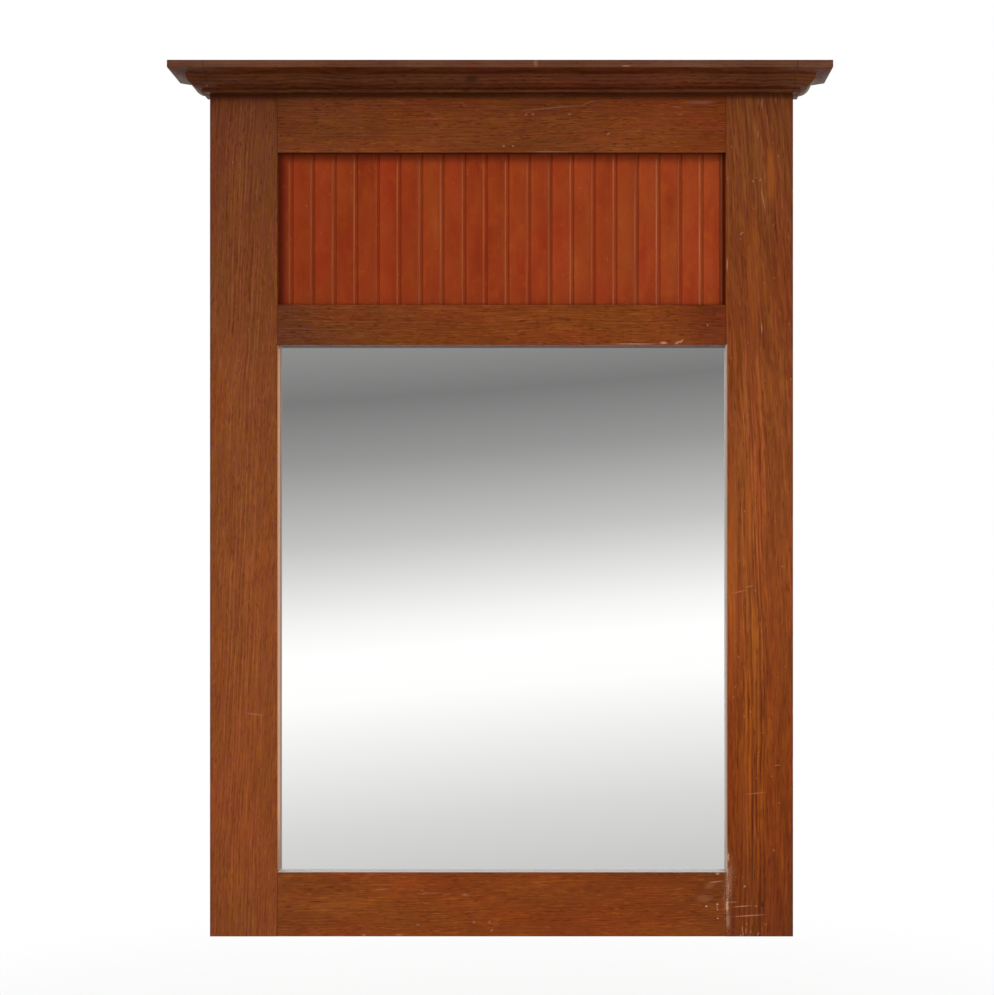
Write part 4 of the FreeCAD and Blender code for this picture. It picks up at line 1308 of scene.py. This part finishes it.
def eased_copy(node: str, width: float) -> bpy.types.Object:
    """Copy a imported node, soften its edges and let the copy stand for it.

    Args:
        node: The node's name.
        width: Width of the rounding in metres.

    Returns:
        The copy, without its finish.
    """
    source = frame["nodes"][node]
    piece = bpy.data.objects.new(node + "_eased", source.data.copy())
    piece.data.transform(source.matrix_world)
    bpy.context.scene.collection.objects.link(piece)
    take(piece)
    bpy.ops.mesh.customdata_custom_splitnormals_clear()
    bpy.ops.object.mode_set(mode="EDIT")
    bpy.ops.mesh.select_all(action="SELECT")
    bpy.ops.mesh.remove_doubles(threshold=SEAM_GAP)
    bpy.ops.mesh.dissolve_limited(angle_limit=FLAT_ANGLE)
    bpy.ops.mesh.normals_make_consistent(inside=False)
    bpy.ops.object.mode_set(mode="OBJECT")
    soften(piece, width)
    settle(piece)
    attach(piece, "frame")
    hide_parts(node)
    return piece


def paint(piece: bpy.types.Object, material: bpy.types.Material) -> None:
    """Give a new piece one finish, and say so.

    Args:
        piece: The piece.
        material: The finish.
    """
    piece.data.materials.clear()
    piece.data.materials.append(material)
    LOG.info("%s wears %s", piece.name, material.name)


def dress(nodes: Iterable[str], material: bpy.types.Material) -> None:
    """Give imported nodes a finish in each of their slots.

    Args:
        nodes: The nodes' names.
        material: The finish.
    """
    for name in nodes:
        for holder in frame["nodes"][name].material_slots:
            holder.material = material
        LOG.info("%s wears %s", name, material.name)


STILE_SHADES = (stain(92, 42, 14), stain(119, 62, 29), stain(133, 73, 38), stain(156, 94, 54))
RIGHT_SHADES = (stain(96, 42, 12), stain(124, 62, 27), stain(139, 73, 35), stain(166, 96, 48))
# The top rail's shades are darker than the other rails', partly as painted shade for the weaker light at the
# top.
TOP_SHADES = (stain(78, 34, 12), stain(104, 50, 22), stain(120, 61, 29), stain(144, 82, 44))
RAIL_SHADES = (stain(88, 38, 10), stain(116, 56, 20), stain(130, 65, 27), stain(156, 88, 44))
CROWN_SHADES = (stain(48, 16, 5), stain(81, 36, 16), stain(95, 45, 23), stain(114, 61, 35))

# Tints along each piece, with places in metres along it: partly the stain's own changes and partly painted
# light and shade, which darkens the uprights towards the top and the right one towards its foot too.
LEFT_RUN = ((-0.97, tint(1.06, 0.87, 0.69)), (-0.80, tint(1.20, 1.0, 0.83)), (-0.50, tint(1.14, 1.03, 0.92)),
            (-0.25, tint(1.0, 0.95, 0.93)), (-0.10, tint(0.86, 0.78, 0.78)), (0.08, tint(0.70, 0.61, 0.71)))
RIGHT_RUN = ((-0.97, tint(0.64, 0.45, 0.20)), (-0.80, tint(0.84, 0.59, 0.16)),
             (-0.65, tint(0.92, 0.68, 0.29)), (-0.50, tint(1.06, 0.88, 0.56)),
             (-0.30, tint(0.98, 0.85, 0.74)), (-0.10, tint(0.81, 0.71, 0.62)),
             (0.08, tint(0.82, 0.80, 0.95)))
TOP_RUN = ((-0.29, tint(0.85, 0.88, 0.90)), (-0.14, tint(1.10, 1.0, 0.80)), (0.10, tint(1.06, 0.97, 0.82)),
           (0.21, tint(1.15, 1.0, 0.73)), (0.29, tint(1.17, 0.86, 0.62)))
MIDDLE_RUN = ((-0.29, tint(0.66, 0.66, 1.30)), (-0.14, tint(0.95, 0.91, 0.85)),
              (-0.02, tint(0.93, 0.79, 0.60)), (0.21, tint(1.03, 0.88, 0.60)),
              (0.29, tint(0.74, 0.50, 0.52)))
BOTTOM_RUN = ((-0.29, tint(1.04, 0.94, 0.82)), (-0.14, tint(1.17, 1.03, 0.74)),
              (-0.02, tint(0.98, 0.79, 0.37)), (0.20, tint(0.97, 0.75, 0.34)),
              (0.29, tint(0.84, 0.70, 0.40)))

# Marks on the front. The scuffs at the right foot joint lie on both pieces.
JOINT_SCUFFS = (
    Mark(298.0, -932.0, 44.0, 3.0, 90.0, 0.34, 6.0),
    Mark(299.6, -922.0, 24.0, 4.6, 86.0, 0.24, 7.0),
    Mark(297.4, -897.0, 22.0, 1.8, 90.0, 0.5, 6.0),
    Mark(299.0, -889.0, 6.0, 1.8, 90.0, 0.7, 5.0),
    Mark(298.6, -906.0, 5.0, 1.2, 84.0, 0.6, 4.0),
    Mark(299.4, -929.0, 12.0, 1.0, 93.0, 0.5, 5.0),
    Mark(297.8, -952.0, 9.0, 2.2, 90.0, 0.9, 4.5),
    Mark(298.8, -972.0, 11.0, 3.2, 90.0, 0.36, 4.0),
)
LEFT_SCRATCHES = (Mark(-326.5, -699.5, 13.0, 0.8, -8.0, 0.26),)
RIGHT_SCRATCHES = JOINT_SCUFFS + (
    Mark(318.2, -953.1, 12.6, 0.7, 4.5, 0.5),
    Mark(326.0, -965.5, 21.0, 0.8, 3.7, 0.42),
    Mark(305.0, -947.5, 8.0, 0.7, 0.0, 0.3),
    Mark(321.0, -927.0, 2.2, 1.5, 60.0, 0.35),
    Mark(336.0, -953.0, 2.4, 1.2, 0.0, 0.22),
    Mark(318.0, -984.0, 5.0, 0.8, 90.0, 0.3),
    Mark(322.5, -986.0, 4.0, 0.8, 90.0, 0.3),
    Mark(329.0, -987.0, 3.0, 0.8, 90.0, 0.25),
    Mark(338.8, -989.5, 3.0, 1.0, 70.0, 0.32),
    Mark(319.0, -990.0, 3.0, 1.0, 90.0, 0.28),
    Mark(338.6, 108.0, 6.5, 1.0, 90.0, 0.16),
    Mark(343.6, 107.0, 7.0, 1.3, 84.0, 0.16),
    Mark(362.0, 111.0, 5.0, 0.8, 90.0, 0.14),
    Mark(338.5, 66.0, 6.0, 1.0, 88.0, 0.22),
    Mark(341.5, 6.0, 2.4, 1.1, 70.0, 0.34),
    Mark(332.0, 4.0, 2.2, 1.0, 140.0, 0.28),
    Mark(345.5, -21.0, 15.5, 0.7, 101.0, 0.36),
    Mark(359.0, -54.0, 3.0, 1.0, 60.0, 0.16),
    Mark(343.5, -190.0, 8.0, 0.8, 92.0, 0.45),
    Mark(298.0, -106.0, 9.0, 0.9, 90.0, 0.45),
    Mark(317.0, -65.0, 3.0, 1.2, 35.0, 0.3),
    Mark(313.8, -537.9, 10.0, 0.7, 13.0, 0.3),
    Mark(327.2, -530.9, 6.0, 0.7, 17.0, 0.3),
    Mark(364.0, -767.0, 5.5, 0.7, 0.0, 0.26),
    Mark(335.6, -804.0, 15.0, 0.7, 7.0, 0.2),
)
RIGHT_STAINS = (
    Mark(344.3, -951.0, 5.0, 1.6, 90.0, 0.7),
    Mark(299.0, -944.0, 6.0, 2.6, 90.0, 0.6),
    Mark(349.0, -930.0, 20.0, 1.0, 90.0, 0.35),
    Mark(334.0, -905.0, 30.0, 0.9, 88.0, 0.35),
)
RIGHT_PATCHES = (
    Mark(356.0, 12.0, 40.0, 6.5, 90.0, 0.55),
    Mark(333.0, -113.0, 110.0, 10.0, 90.0, 0.22),
    Mark(326.0, -440.0, 100.0, 6.0, 90.0, 0.42),
    Mark(305.0, -500.0, 170.0, 8.0, 90.0, 0.4),
    Mark(322.0, -800.0, 120.0, 8.0, 90.0, 0.2),
)
TOP_SCRATCHES = (
    Mark(66.0, 100.7, 40.5, 0.9, 5.0, 0.2),
    Mark(115.0, 107.5, 10.5, 0.8, 20.0, 0.18),
    Mark(32.5, 91.8, 2.0, 1.2, 0.0, 0.3),
    Mark(41.5, 92.2, 1.6, 1.4, 0.0, 0.3),
    Mark(90.0, 92.5, 2.0, 1.0, 0.0, 0.3),
    Mark(141.0, 66.5, 3.0, 1.2, 30.0, 0.3),
    Mark(3.0, 50.5, 1.6, 1.2, 0.0, 0.4),
    Mark(15.0, 50.5, 1.6, 1.2, 0.0, 0.4),
    Mark(262.0, 108.0, 22.0, 3.0, 0.0, 0.12),
    Mark(231.0, 102.0, 8.0, 1.0, -6.0, 0.16),
    Mark(60.0, 43.0, 26.0, 1.0, 0.0, 0.18),
)
TOP_STAINS = (
    Mark(54.5, 55.5, 12.6, 0.8, 0.0, 0.8),
    Mark(98.0, 56.0, 9.0, 0.7, 4.0, 0.5),
)
MIDDLE_SCRATCHES = (
    Mark(214.0, -209.5, 5.0, 1.9, 0.0, 0.6),
    Mark(232.5, -209.0, 5.0, 1.5, 30.0, 0.55),
    Mark(238.0, -207.0, 4.0, 1.0, 50.0, 0.5),
    Mark(175.0, -210.8, 30.0, 1.0, 0.0, 0.4),
    Mark(272.0, -186.0, 1.2, 1.0, 0.0, 0.5),
)
MIDDLE_STAINS = (Mark(270.0, -187.0, 26.0, 24.0, 0.0, 0.2),)
BOTTOM_SCRATCHES = JOINT_SCUFFS + (
    Mark(283.0, -920.8, 11.0, 1.0, 6.5, 0.36),
    Mark(275.0, -926.0, 8.0, 4.0, 20.0, 0.08),
    Mark(285.0, -910.0, 2.6, 1.6, 0.0, 0.55),
    Mark(270.5, -953.2, 1.3, 1.6, 60.0, 0.75),
    Mark(284.9, -950.4, 1.6, 1.4, 40.0, 0.7),
    Mark(284.6, -954.3, 1.3, 1.0, 0.0, 0.5),
    Mark(285.2, -957.6, 1.1, 1.0, 0.0, 0.7),
    Mark(285.6, -969.0, 1.3, 1.0, 0.0, 0.7),
    Mark(268.0, -942.0, 12.0, 5.0, 0.0, 0.07),
    Mark(-96.0, -936.0, 20.0, 1.0, 3.0, 0.14),
    Mark(-160.0, -931.0, 14.0, 1.0, 4.0, 0.15),
    Mark(-48.2, -937.8, 5.0, 2.2, 0.0, 0.17),
    Mark(-36.6, -974.0, 1.5, 2.0, 0.0, 0.24),
    Mark(-15.7, -974.0, 1.6, 2.2, 0.0, 0.2),
    Mark(-110.0, -977.4, 3.0, 1.0, 0.0, 0.26),
    Mark(-12.8, -984.9, 2.6, 1.4, 40.0, 0.3),
    Mark(-181.6, -991.0, 2.5, 1.4, 0.0, 0.3),
    Mark(-134.9, -990.6, 5.0, 1.6, 0.0, 0.25),
)
BOTTOM_STAINS = (
    Mark(277.5, -947.3, 8.0, 0.8, 2.0, 0.7),
    Mark(-244.0, -947.0, 16.0, 0.8, 0.0, 0.6),
    Mark(-282.0, -954.0, 5.0, 1.2, 0.0, 0.6),
)
CROWN_STAINS = (Mark(-38.0, 132.0, 9.0, 5.0, 0.0, 0.8),)
CROWN_SCRATCHES = (Mark(46.0, 146.0, 3.0, 5.0, 0.0, 0.2), Mark(163.0, 142.0, 6.0, 0.8, 0.0, 0.4))


@dataclass
class TimberFrame:
    """The two uprights and three rails."""

    easing: float = 0.35 * MM

    def uprights(self) -> dict[str, Oak]:
        """Finishes of the uprights.

        Returns:
            Each upright's oak, by node name.
        """
        left = Oak("oak_left_stile", Grain.UPRIGHT, STILE_SHADES,
                   Log(-0.62, 0.05, 0.02, -0.4, contrast=0.12), 1.3,
                   slant=-0.05, tint=0.5, run=LEFT_RUN,
                   streaks=0.60, hairs=0.30, clouds=0.26, pitted=0.46, flecks=0.25,
                   glass_edge=GlassEdge(1.0, EDGE_HIGHLIGHT), comb=Comb(-0.343, 0.024, 1.0, 0.24),
                   crown_shadow=(0.8, 12.0), pale=LEFT_SCRATCHES)
        right = Oak("oak_right_stile", Grain.UPRIGHT, RIGHT_SHADES,
                    Log(0.330, 0.06, 0.035, -0.1, 5.2 * MM, 0.08), 5.1,
                    slant=0.078, curve=0.047, tint=0.62, spread=(48.0, 4.0), run=RIGHT_RUN,
                    streaks=0.92, hairs=0.66, short=0.8, clouds=0.20, flecks=0.5,
                    glass_edge=GlassEdge(1.05, PALE_PAINTED_LIGHT, 0.8), comb=Comb(0.333, 0.017, -0.26, 0.5),
                    pale=RIGHT_SCRATCHES, dark=RIGHT_STAINS, patches=RIGHT_PATCHES)
        return {"left_stile": left, "right_stile": right}

    def rails(self) -> dict[str, Oak]:
        """Finishes of the rails.

        Returns:
            Each rail's oak, by node name.
        """
        top = Oak("oak_top_rail", Grain.LEVEL, TOP_SHADES,
                  Log(0.36, 0.06, 0.03, 0.0, contrast=0.12), 9.4,
                  streaks=0.45, hairs=0.29, clouds=0.55, crown_shadow=(0.75, 10.0),
                  pale=TOP_SCRATCHES, dark=TOP_STAINS, run=TOP_RUN)
        middle = Oak("oak_middle_rail", Grain.LEVEL, RAIL_SHADES,
                     Log(-0.40, 0.05, 0.03, 0.1, contrast=0.14), 13.8,
                     streaks=0.80, hairs=0.44, clouds=0.50, rebate_shade=0.3,
                     pale=MIDDLE_SCRATCHES, dark=MIDDLE_STAINS, run=MIDDLE_RUN)
        bottom = Oak("oak_bottom_rail", Grain.LEVEL, RAIL_SHADES,
                     Log(-0.80, 0.05, 0.03, -0.1, contrast=0.12), 17.7,
                     streaks=0.74, hairs=0.34, clouds=0.62, pitted=0.42, ledge=True,
                     pale=BOTTOM_SCRATCHES, dark=BOTTOM_STAINS, run=BOTTOM_RUN)
        return {"top_rail": top, "middle_rail": middle, "bottom_rail": bottom}

    def build(self) -> None:
        """Ease the arrises of every piece of the frame and dress it."""
        for node, oak in (self.uprights() | self.rails()).items():
            finish = oak.material()
            paint(eased_copy(node, self.easing), finish)
            dress((node,), finish)


@dataclass
class Crown:
    """The dark moulding along the top."""

    easing: float = 0.4 * MM
    log: Log = Log(0.45, 0.03, 0.02, 0.0, 4.0 * MM, 0.2)
    dusty: float = 0.28

    def build(self) -> None:
        """Ease and dress the front length and its two returns."""
        front = Oak("oak_crown", Grain.LEVEL, CROWN_SHADES, self.log, 21.9,
                    dark=CROWN_STAINS, pale=CROWN_SCRATCHES, dusty=self.dusty).material()
        side = Oak("oak_crown_return", Grain.DEEP, CROWN_SHADES, self.log, 27.1,
                   dusty=self.dusty, lit_sides=True).material()
        pieces = {"crown_front": front, "crown_return_left": side, "crown_return_right": side}
        for node, finish in pieces.items():
            paint(eased_copy(node, self.easing), finish)
            dress((node,), finish)


@dataclass
class BeadPanel:
    """The row of red boards."""

    def build(self) -> None:
        """Dress the boards."""
        boards = [name for name in frame["nodes"] if name.startswith("bead_board")]
        dress(sorted(boards), RedBoard().material())


@dataclass
class Back:
    """What holds the glass behind: the backing board, its strips and their nails."""

    ply: tuple[Colour, Colour, Colour] = (stain(150, 113, 72), stain(174, 136, 90), stain(194, 158, 110))
    pine: tuple[Colour, Colour, Colour] = (stain(170, 124, 70), stain(205, 165, 108), stain(222, 188, 136))
    nails: PlatedSteel = PlatedSteel("bright_wire", stain(176, 174, 170), stain(128, 124, 118), 0.42)

    def build(self) -> None:
        """Dress the unstained wood and the nails."""
        dress(("backing_board",), PaleWood("plywood", Grain.UPRIGHT, self.ply, 2.0).material())
        upright = PaleWood("pine_upright", Grain.UPRIGHT, self.pine, 6.0).material()
        dress(("glazing_strip_left", "glazing_strip_right"), upright)
        level = PaleWood("pine_level", Grain.LEVEL, self.pine, 8.0).material()
        dress(("glazing_strip_top", "glazing_strip_bottom"), level)
        dress(("strip_brads", "board_pins"), self.nails.material())


@dataclass
class Screws:
    """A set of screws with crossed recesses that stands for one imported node.

    Each head is turned about an axis that points at the wall.
    """

    node: str
    places: Sequence[tuple[float, float]]
    head_radius: float
    head_height: float
    shank_radius: float
    domed: bool
    blade_share: Triple = (1.0, 0.62, 0.21)
    blade_reach_share: float = 1.15
    blade_turn: float = 20.0
    straight_share: float = 0.8
    point_share: float = 0.12
    dome_share: float = 0.62
    rim_easing: float = 0.15 * MM
    sides: int = 40
    dome_steps: int = 5
    dome_angle: float = 60.0
    rim_steps: int = 2
    rim_angle: float = 40.0

    def cross(self, size: float, top: float) -> list[bpy.types.Object]:
        """The two blades that sink a crossed recess.

        Args:
            size: Length of a blade.
            top: Where the head's top is, towards the wall.

        Returns:
            Two bars at the origin's axis.
        """
        bars = []
        for turn in (0.0, 90.0):
            bpy.ops.mesh.primitive_cube_add(size=1.0, location=(0.0, top, 0.0))
            bar = bpy.context.object
            bar.scale = tuple(size * share for share in self.blade_share)
            bar.rotation_euler = (0.0, math.radians(turn + self.blade_turn), 0.0)
            settle(bar)
            bars.append(bar)
        return bars

    def screw(self, top: float, tip: float) -> bpy.types.Object:
        """One screw on the axis through the origin.

        Args:
            top: Where its head's top is.
            tip: Where its point is.

        Returns:
            The finished screw.
        """
        middle = (0.0, top - self.head_height / 2, 0.0)
        head = cylinder(self.head_radius, self.head_height, middle, self.sides)
        mark_faces(head, -1.0)
        if self.domed:
            bpy.ops.mesh.inset(thickness=self.head_radius - self.shank_radius)
        else:
            neck = self.shank_radius / self.head_radius
            bpy.ops.transform.resize(value=(neck, 1.0, neck))
        shank = tip - top + self.head_height
        pull(shank * self.straight_share)
        pull(shank * (1.0 - self.straight_share))
        bpy.ops.transform.resize(value=(self.point_share, 1.0, self.point_share))
        bpy.ops.object.mode_set(mode="OBJECT")
        if self.domed:
            soften(head, self.head_height * self.dome_share, self.dome_steps, self.dome_angle)
        else:
            soften(head, self.rim_easing, self.rim_steps, self.rim_angle)
        for bar in self.cross(self.head_radius * self.blade_reach_share, top):
            cut(head, bar)
        settle(head)
        return head

    def build(self, finish: bpy.types.Material) -> None:
        """Model one screw, copy it to each place and join the set.

        Args:
            finish: The steel's finish.
        """
        low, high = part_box(self.node)
        first = self.screw(high.y, low.y)
        copies = []
        for across, up in self.places:
            copy = bpy.data.objects.new(self.node + "_one", first.data.copy())
            copy.location = (across, 0.0, up)
            bpy.context.scene.collection.objects.link(copy)
            copies.append(copy)
        bpy.data.objects.remove(first)
        whole = join(copies, self.node + "_cross_head")
        settle(whole)
        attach(whole, "frame")
        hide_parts(self.node)
        paint(whole, finish)


@dataclass
class Hangers:
    """Straps, rings and every screw on the back."""

    strap_screws_up: tuple[float, float] = (-0.054, -0.070)
    strap_screw: Triple = (3.8 * MM, 2.2 * MM, 1.7 * MM)
    crown_screws_up: float = 0.143
    crown_screw: Triple = (3.99 * MM, 2.4 * MM, 1.9 * MM)
    crown_screw_shares: Triple = (0.14, 0.5, 0.86)
    easing: float = 0.2 * MM
    plate: PlatedSteel = PlatedSteel("zinc_plate", stain(196, 198, 200), stain(150, 152, 152), 0.34)

    def build(self) -> None:
        """Ease the straps, model the screws and dress all the steel."""
        zinc = self.plate.material()
        low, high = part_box("hanger_strap_right")
        middle = (low.x + high.x) / 2
        for side in ("left", "right"):
            paint(eased_copy("hanger_strap_" + side, self.easing), zinc)
        spots = [(sign * middle, up) for sign in (-1, 1) for up in self.strap_screws_up]
        Screws("hanger_screws", spots, *self.strap_screw, True).build(zinc)
        between = [FRONT.inner * (2 * share - 1) for share in self.crown_screw_shares]
        spots = [(across, self.crown_screws_up) for across in (-middle, *between, middle)]
        Screws("crown_screws", spots, *self.crown_screw, False).build(zinc)
        dress(("crown_screws", "hanger_strap_left", "hanger_strap_right", "hanger_screws",
               "hanger_ring_left", "hanger_ring_right"), zinc)


@dataclass
class Bumpers:
    """Rubber feet that keep the frame off the wall, each held by a pin."""

    rim_easing: float = 0.9 * MM
    well_radius: float = 3.4 * MM
    well_depth: float = 2.6 * MM
    pin_radius: float = 2.6 * MM
    pin_height: float = 1.4 * MM
    pin_rise: float = 0.6 * MM
    pin_easing: float = 0.6 * MM
    sides: int = 64
    pin_sides: int = 32
    steps: int = 4
    angle: float = 60.0
    plate: PlatedSteel = PlatedSteel("bumper_pin", stain(170, 168, 162), stain(120, 116, 108), 0.45)

    def build(self) -> None:
        """Model both bumpers and their pins."""
        rubber = Rubber().material()
        steel = self.plate.material()
        for side in ("left", "right"):
            node = "wall_bumper_" + side
            low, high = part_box(node)
            centre = (low + high) / 2
            radius = (high.x - low.x) / 2
            foot = cylinder(radius, high.y - low.y, centre, self.sides)
            foot.name = node + "_moulded"
            self.hollow(foot, radius)
            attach(foot, "frame")
            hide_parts(node)
            paint(foot, rubber)
            dress((node,), rubber)
            self.pin(side, Vector((centre.x, high.y - self.well_depth + self.pin_rise, centre.z)), steel)

    def hollow(self, foot: bpy.types.Object, radius: float) -> None:
        """Sink the well for the pin and round the rims.

        Args:
            foot: The bumper.
            radius: Its radius.
        """
        mark_faces(foot, 1.0)
        bpy.ops.mesh.inset(thickness=radius - self.well_radius)
        pull(-self.well_depth)
        bpy.ops.object.mode_set(mode="OBJECT")
        soften(foot, self.rim_easing, self.steps, self.angle)
        settle(foot)

    def pin(self, side: str, middle: Vector, finish: bpy.types.Material) -> None:
        """Model one pin's domed head at the bottom of the well.

        Args:
            side: Left or right.
            middle: The head's middle.
            finish: The pin's finish.
        """
        head = cylinder(self.pin_radius, self.pin_height, middle, self.pin_sides)
        head.name = "bumper_pin_" + side
        soften(head, self.pin_easing, self.steps, self.angle)
        settle(head)
        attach(head, "frame")
        paint(head, finish)


@dataclass
class Glass:
    """The looking glass."""

    def build(self) -> None:
        """Dress the pane."""
        dress(("mirror_pane",), Silvering().material())


@dataclass(frozen=True)
class Lamp:
    """A square soft lamp: where it hangs, what it points at, its side in metres and its power in watts."""

    name: str
    place: Triple
    target: Triple
    size: float
    power: float
    shiny: bool = False

    def hang(self) -> None:
        """Put the lamp into the scene, where only shiny ones show in glossy surfaces."""
        data = bpy.data.lights.new(self.name, "AREA")
        data.size = self.size
        data.energy = self.power
        lamp = bpy.data.objects.new(self.name, data)
        lamp.location = self.place
        lamp.rotation_euler = (Vector(self.target) - Vector(self.place)).to_track_quat("-Z", "Y").to_euler()
        lamp.visible_camera = False
        lamp.visible_glossy = self.shiny
        bpy.context.scene.collection.objects.link(lamp)


@dataclass
class Studio:
    """Pale floor, soft lamps, the light that surrounds them, and the camera.

    The bands are the grey steps that the glass shows, each with its height, as a share of them all, and its
    light value. Columns and rows are those of the picture that the view was measured in.
    """

    pixel: float = 1.32 * MM
    picture: tuple[int, int] = (994, 995)
    middle_column: float = 501.5
    foot_row: float = 936.5
    sideways_shift: float = -0.07
    upward_shift: float = 0.055
    distance: float = 2.058
    film_width: float = 36.0
    bands_column: float = 500.0
    bands_row: float = 611.9
    bands_slope: float = 0.081
    bands_height: float = 0.5
    bands: tuple[tuple[float, float], ...] = (
        (0.0, 0.48), (0.169, 0.585), (0.246, 0.685), (0.349, 0.885), (0.405, 1.0), (0.46, 1.02),
        (0.503, 0.92), (0.605, 0.55), (0.708, 0.305), (0.784, 0.195), (0.836, 0.255), (1.0, 0.40))
    soft_light: float = 0.42
    floor_level: float = -1.30
    floor_radius: float = 1.7
    floor_glow: float = 0.8
    floor_sides: int = 96
    floor_colour: Colour = stain(240, 240, 239)
    floor_roughness: float = 0.9
    floor_gloss: float = 0.1
    floor_fade_shares: tuple[float, float] = (0.45, 0.98)
    lamps: tuple[Lamp, ...] = (
        Lamp("key", (-1.1, -2.0, 1.6), (0.0, 0.0, -0.45), 1.3, 26.0),
        Lamp("low_front", (0.3, -2.2, -0.8), (0.0, 0.0, -0.6), 1.2, 11.0),
        Lamp("fill", (1.9, -1.7, -0.5), (0.0, 0.0, -0.5), 1.2, 14.0),
        Lamp("back", (1.2, 2.6, 1.6), (0.0, 0.0, -0.4), 1.6, 60.0, True))

    def level_point(self) -> tuple[float, float]:
        """Column and row of the picture that lie straight ahead of the camera."""
        width, height = self.picture
        return width / 2 - self.sideways_shift * height, height / 2 + self.upward_shift * height

    def camera(self) -> None:
        """Set the camera square to the frame, a little low and to the right, with its view shifted back."""
        lens = bpy.data.cameras.new("view")
        lens.sensor_width = self.film_width
        lens.lens = lens.sensor_width * self.distance / (self.pixel * max(self.picture))
        lens.shift_x = self.sideways_shift
        lens.shift_y = self.upward_shift
        column, row = self.level_point()
        across = (column - self.middle_column) * self.pixel
        up = FRONT.foot + (self.foot_row - row) * self.pixel
        camera = bpy.data.objects.new("view", lens)
        camera.location = (across, FRONT.front - self.distance, up)
        camera.rotation_euler = (RIGHT_ANGLE, 0.0, 0.0)
        bpy.context.scene.collection.objects.link(camera)
        bpy.context.scene.camera = camera
        LOG.info("camera at %.3f %.3f %.3f, lens %.1f", *camera.location, lens.lens)

    def surroundings(self) -> None:
        """Light from all round: white behind the object, and a room that is grey above and bright ahead."""
        world = bpy.data.worlds.new("studio")
        bpy.context.scene.world = world
        world.use_nodes = True
        graph = Graph(world.node_tree)
        sideways, _, upward = graph.axes(graph.add("ShaderNodeTexCoord").outputs["Generated"])
        column, row = self.level_point()
        reach = self.distance / self.pixel
        lean = graph.times(graph.plus(sideways, (column - self.bands_column) / reach), -self.bands_slope)
        lowest = (self.bands_row - row) / reach + self.bands_height / 2
        rise = graph.plus(graph.plus(upward, lean), lowest)
        stops = tuple((place, grey(level)) for place, level in self.bands)
        room = graph.ramp(graph.times(rise, 1.0 / self.bands_height), stops)
        path = graph.add("ShaderNodeLightPath").outputs
        seen = graph.larger(path["Is Camera Ray"], path["Is Transmission Ray"])
        level = graph.blend(path["Is Glossy Ray"], grey(self.soft_light), room)
        level = graph.blend(seen, level, grey(1.0))
        light = graph.add("ShaderNodeBackground", {0: level, 1: 1.0})
        output = graph.add("ShaderNodeOutputWorld")
        graph.tree.links.new(light.outputs[0], output.inputs[0])

    def floor(self) -> None:
        """Lay a pale round floor that fades out into the white around it."""
        bpy.ops.mesh.primitive_circle_add(vertices=self.floor_sides, radius=self.floor_radius,
                                          fill_type="NGON", location=(0.0, 0.0, self.floor_level))
        floor = bpy.context.object
        floor.name = "floor"
        recipe = Recipe("pale_floor")
        start, end = (self.floor_radius * share for share in self.floor_fade_shares)
        fade = recipe.step(recipe.length(recipe.place), start, end)
        fade = recipe.larger(fade, recipe.add("ShaderNodeNewGeometry").outputs["Backfacing"])
        clear = recipe.add("ShaderNodeBsdfTransparent")
        glow = recipe.add("ShaderNodeEmission", {0: grey(1.0), 1: 1.0})
        path = recipe.add("ShaderNodeLightPath").outputs
        mirrored = recipe.larger(path["Is Glossy Ray"], path["Is Transmission Ray"])
        share = recipe.times(recipe.larger(path["Is Camera Ray"], mirrored), self.floor_glow)
        lit = recipe.shader.outputs[0]
        lifted = recipe.add("ShaderNodeMixShader", {0: share, 1: lit, 2: glow.outputs[0]})
        mixed = recipe.add("ShaderNodeMixShader", {0: fade, 1: lifted.outputs[0], 2: clear.outputs[0]})
        recipe.tree.links.new(mixed.outputs[0], recipe.output.inputs[0])
        recipe.colour = self.floor_colour
        finish = recipe.finish(self.floor_roughness, Specular_IOR_Level=self.floor_gloss)
        floor.data.materials.append(finish)

    def build(self) -> None:
        """Set up the whole studio."""
        bpy.context.scene.view_settings.view_transform = "Standard"
        self.camera()
        self.surroundings()
        for lamp in self.lamps:
            lamp.hang()
        self.floor()


def main() -> None:
    """Build the mirror's looks and the studio."""
    logging.basicConfig(level=logging.INFO, format="%(message)s")
    bpy.ops.object.select_all(action="DESELECT")
    for part in (TimberFrame(), Crown(), BeadPanel(), Glass(), Back(), Hangers(), Bumpers(), Studio()):
        part.build()
        LOG.info("%s done", type(part).__name__)


if __name__ == "__main__":
    main()
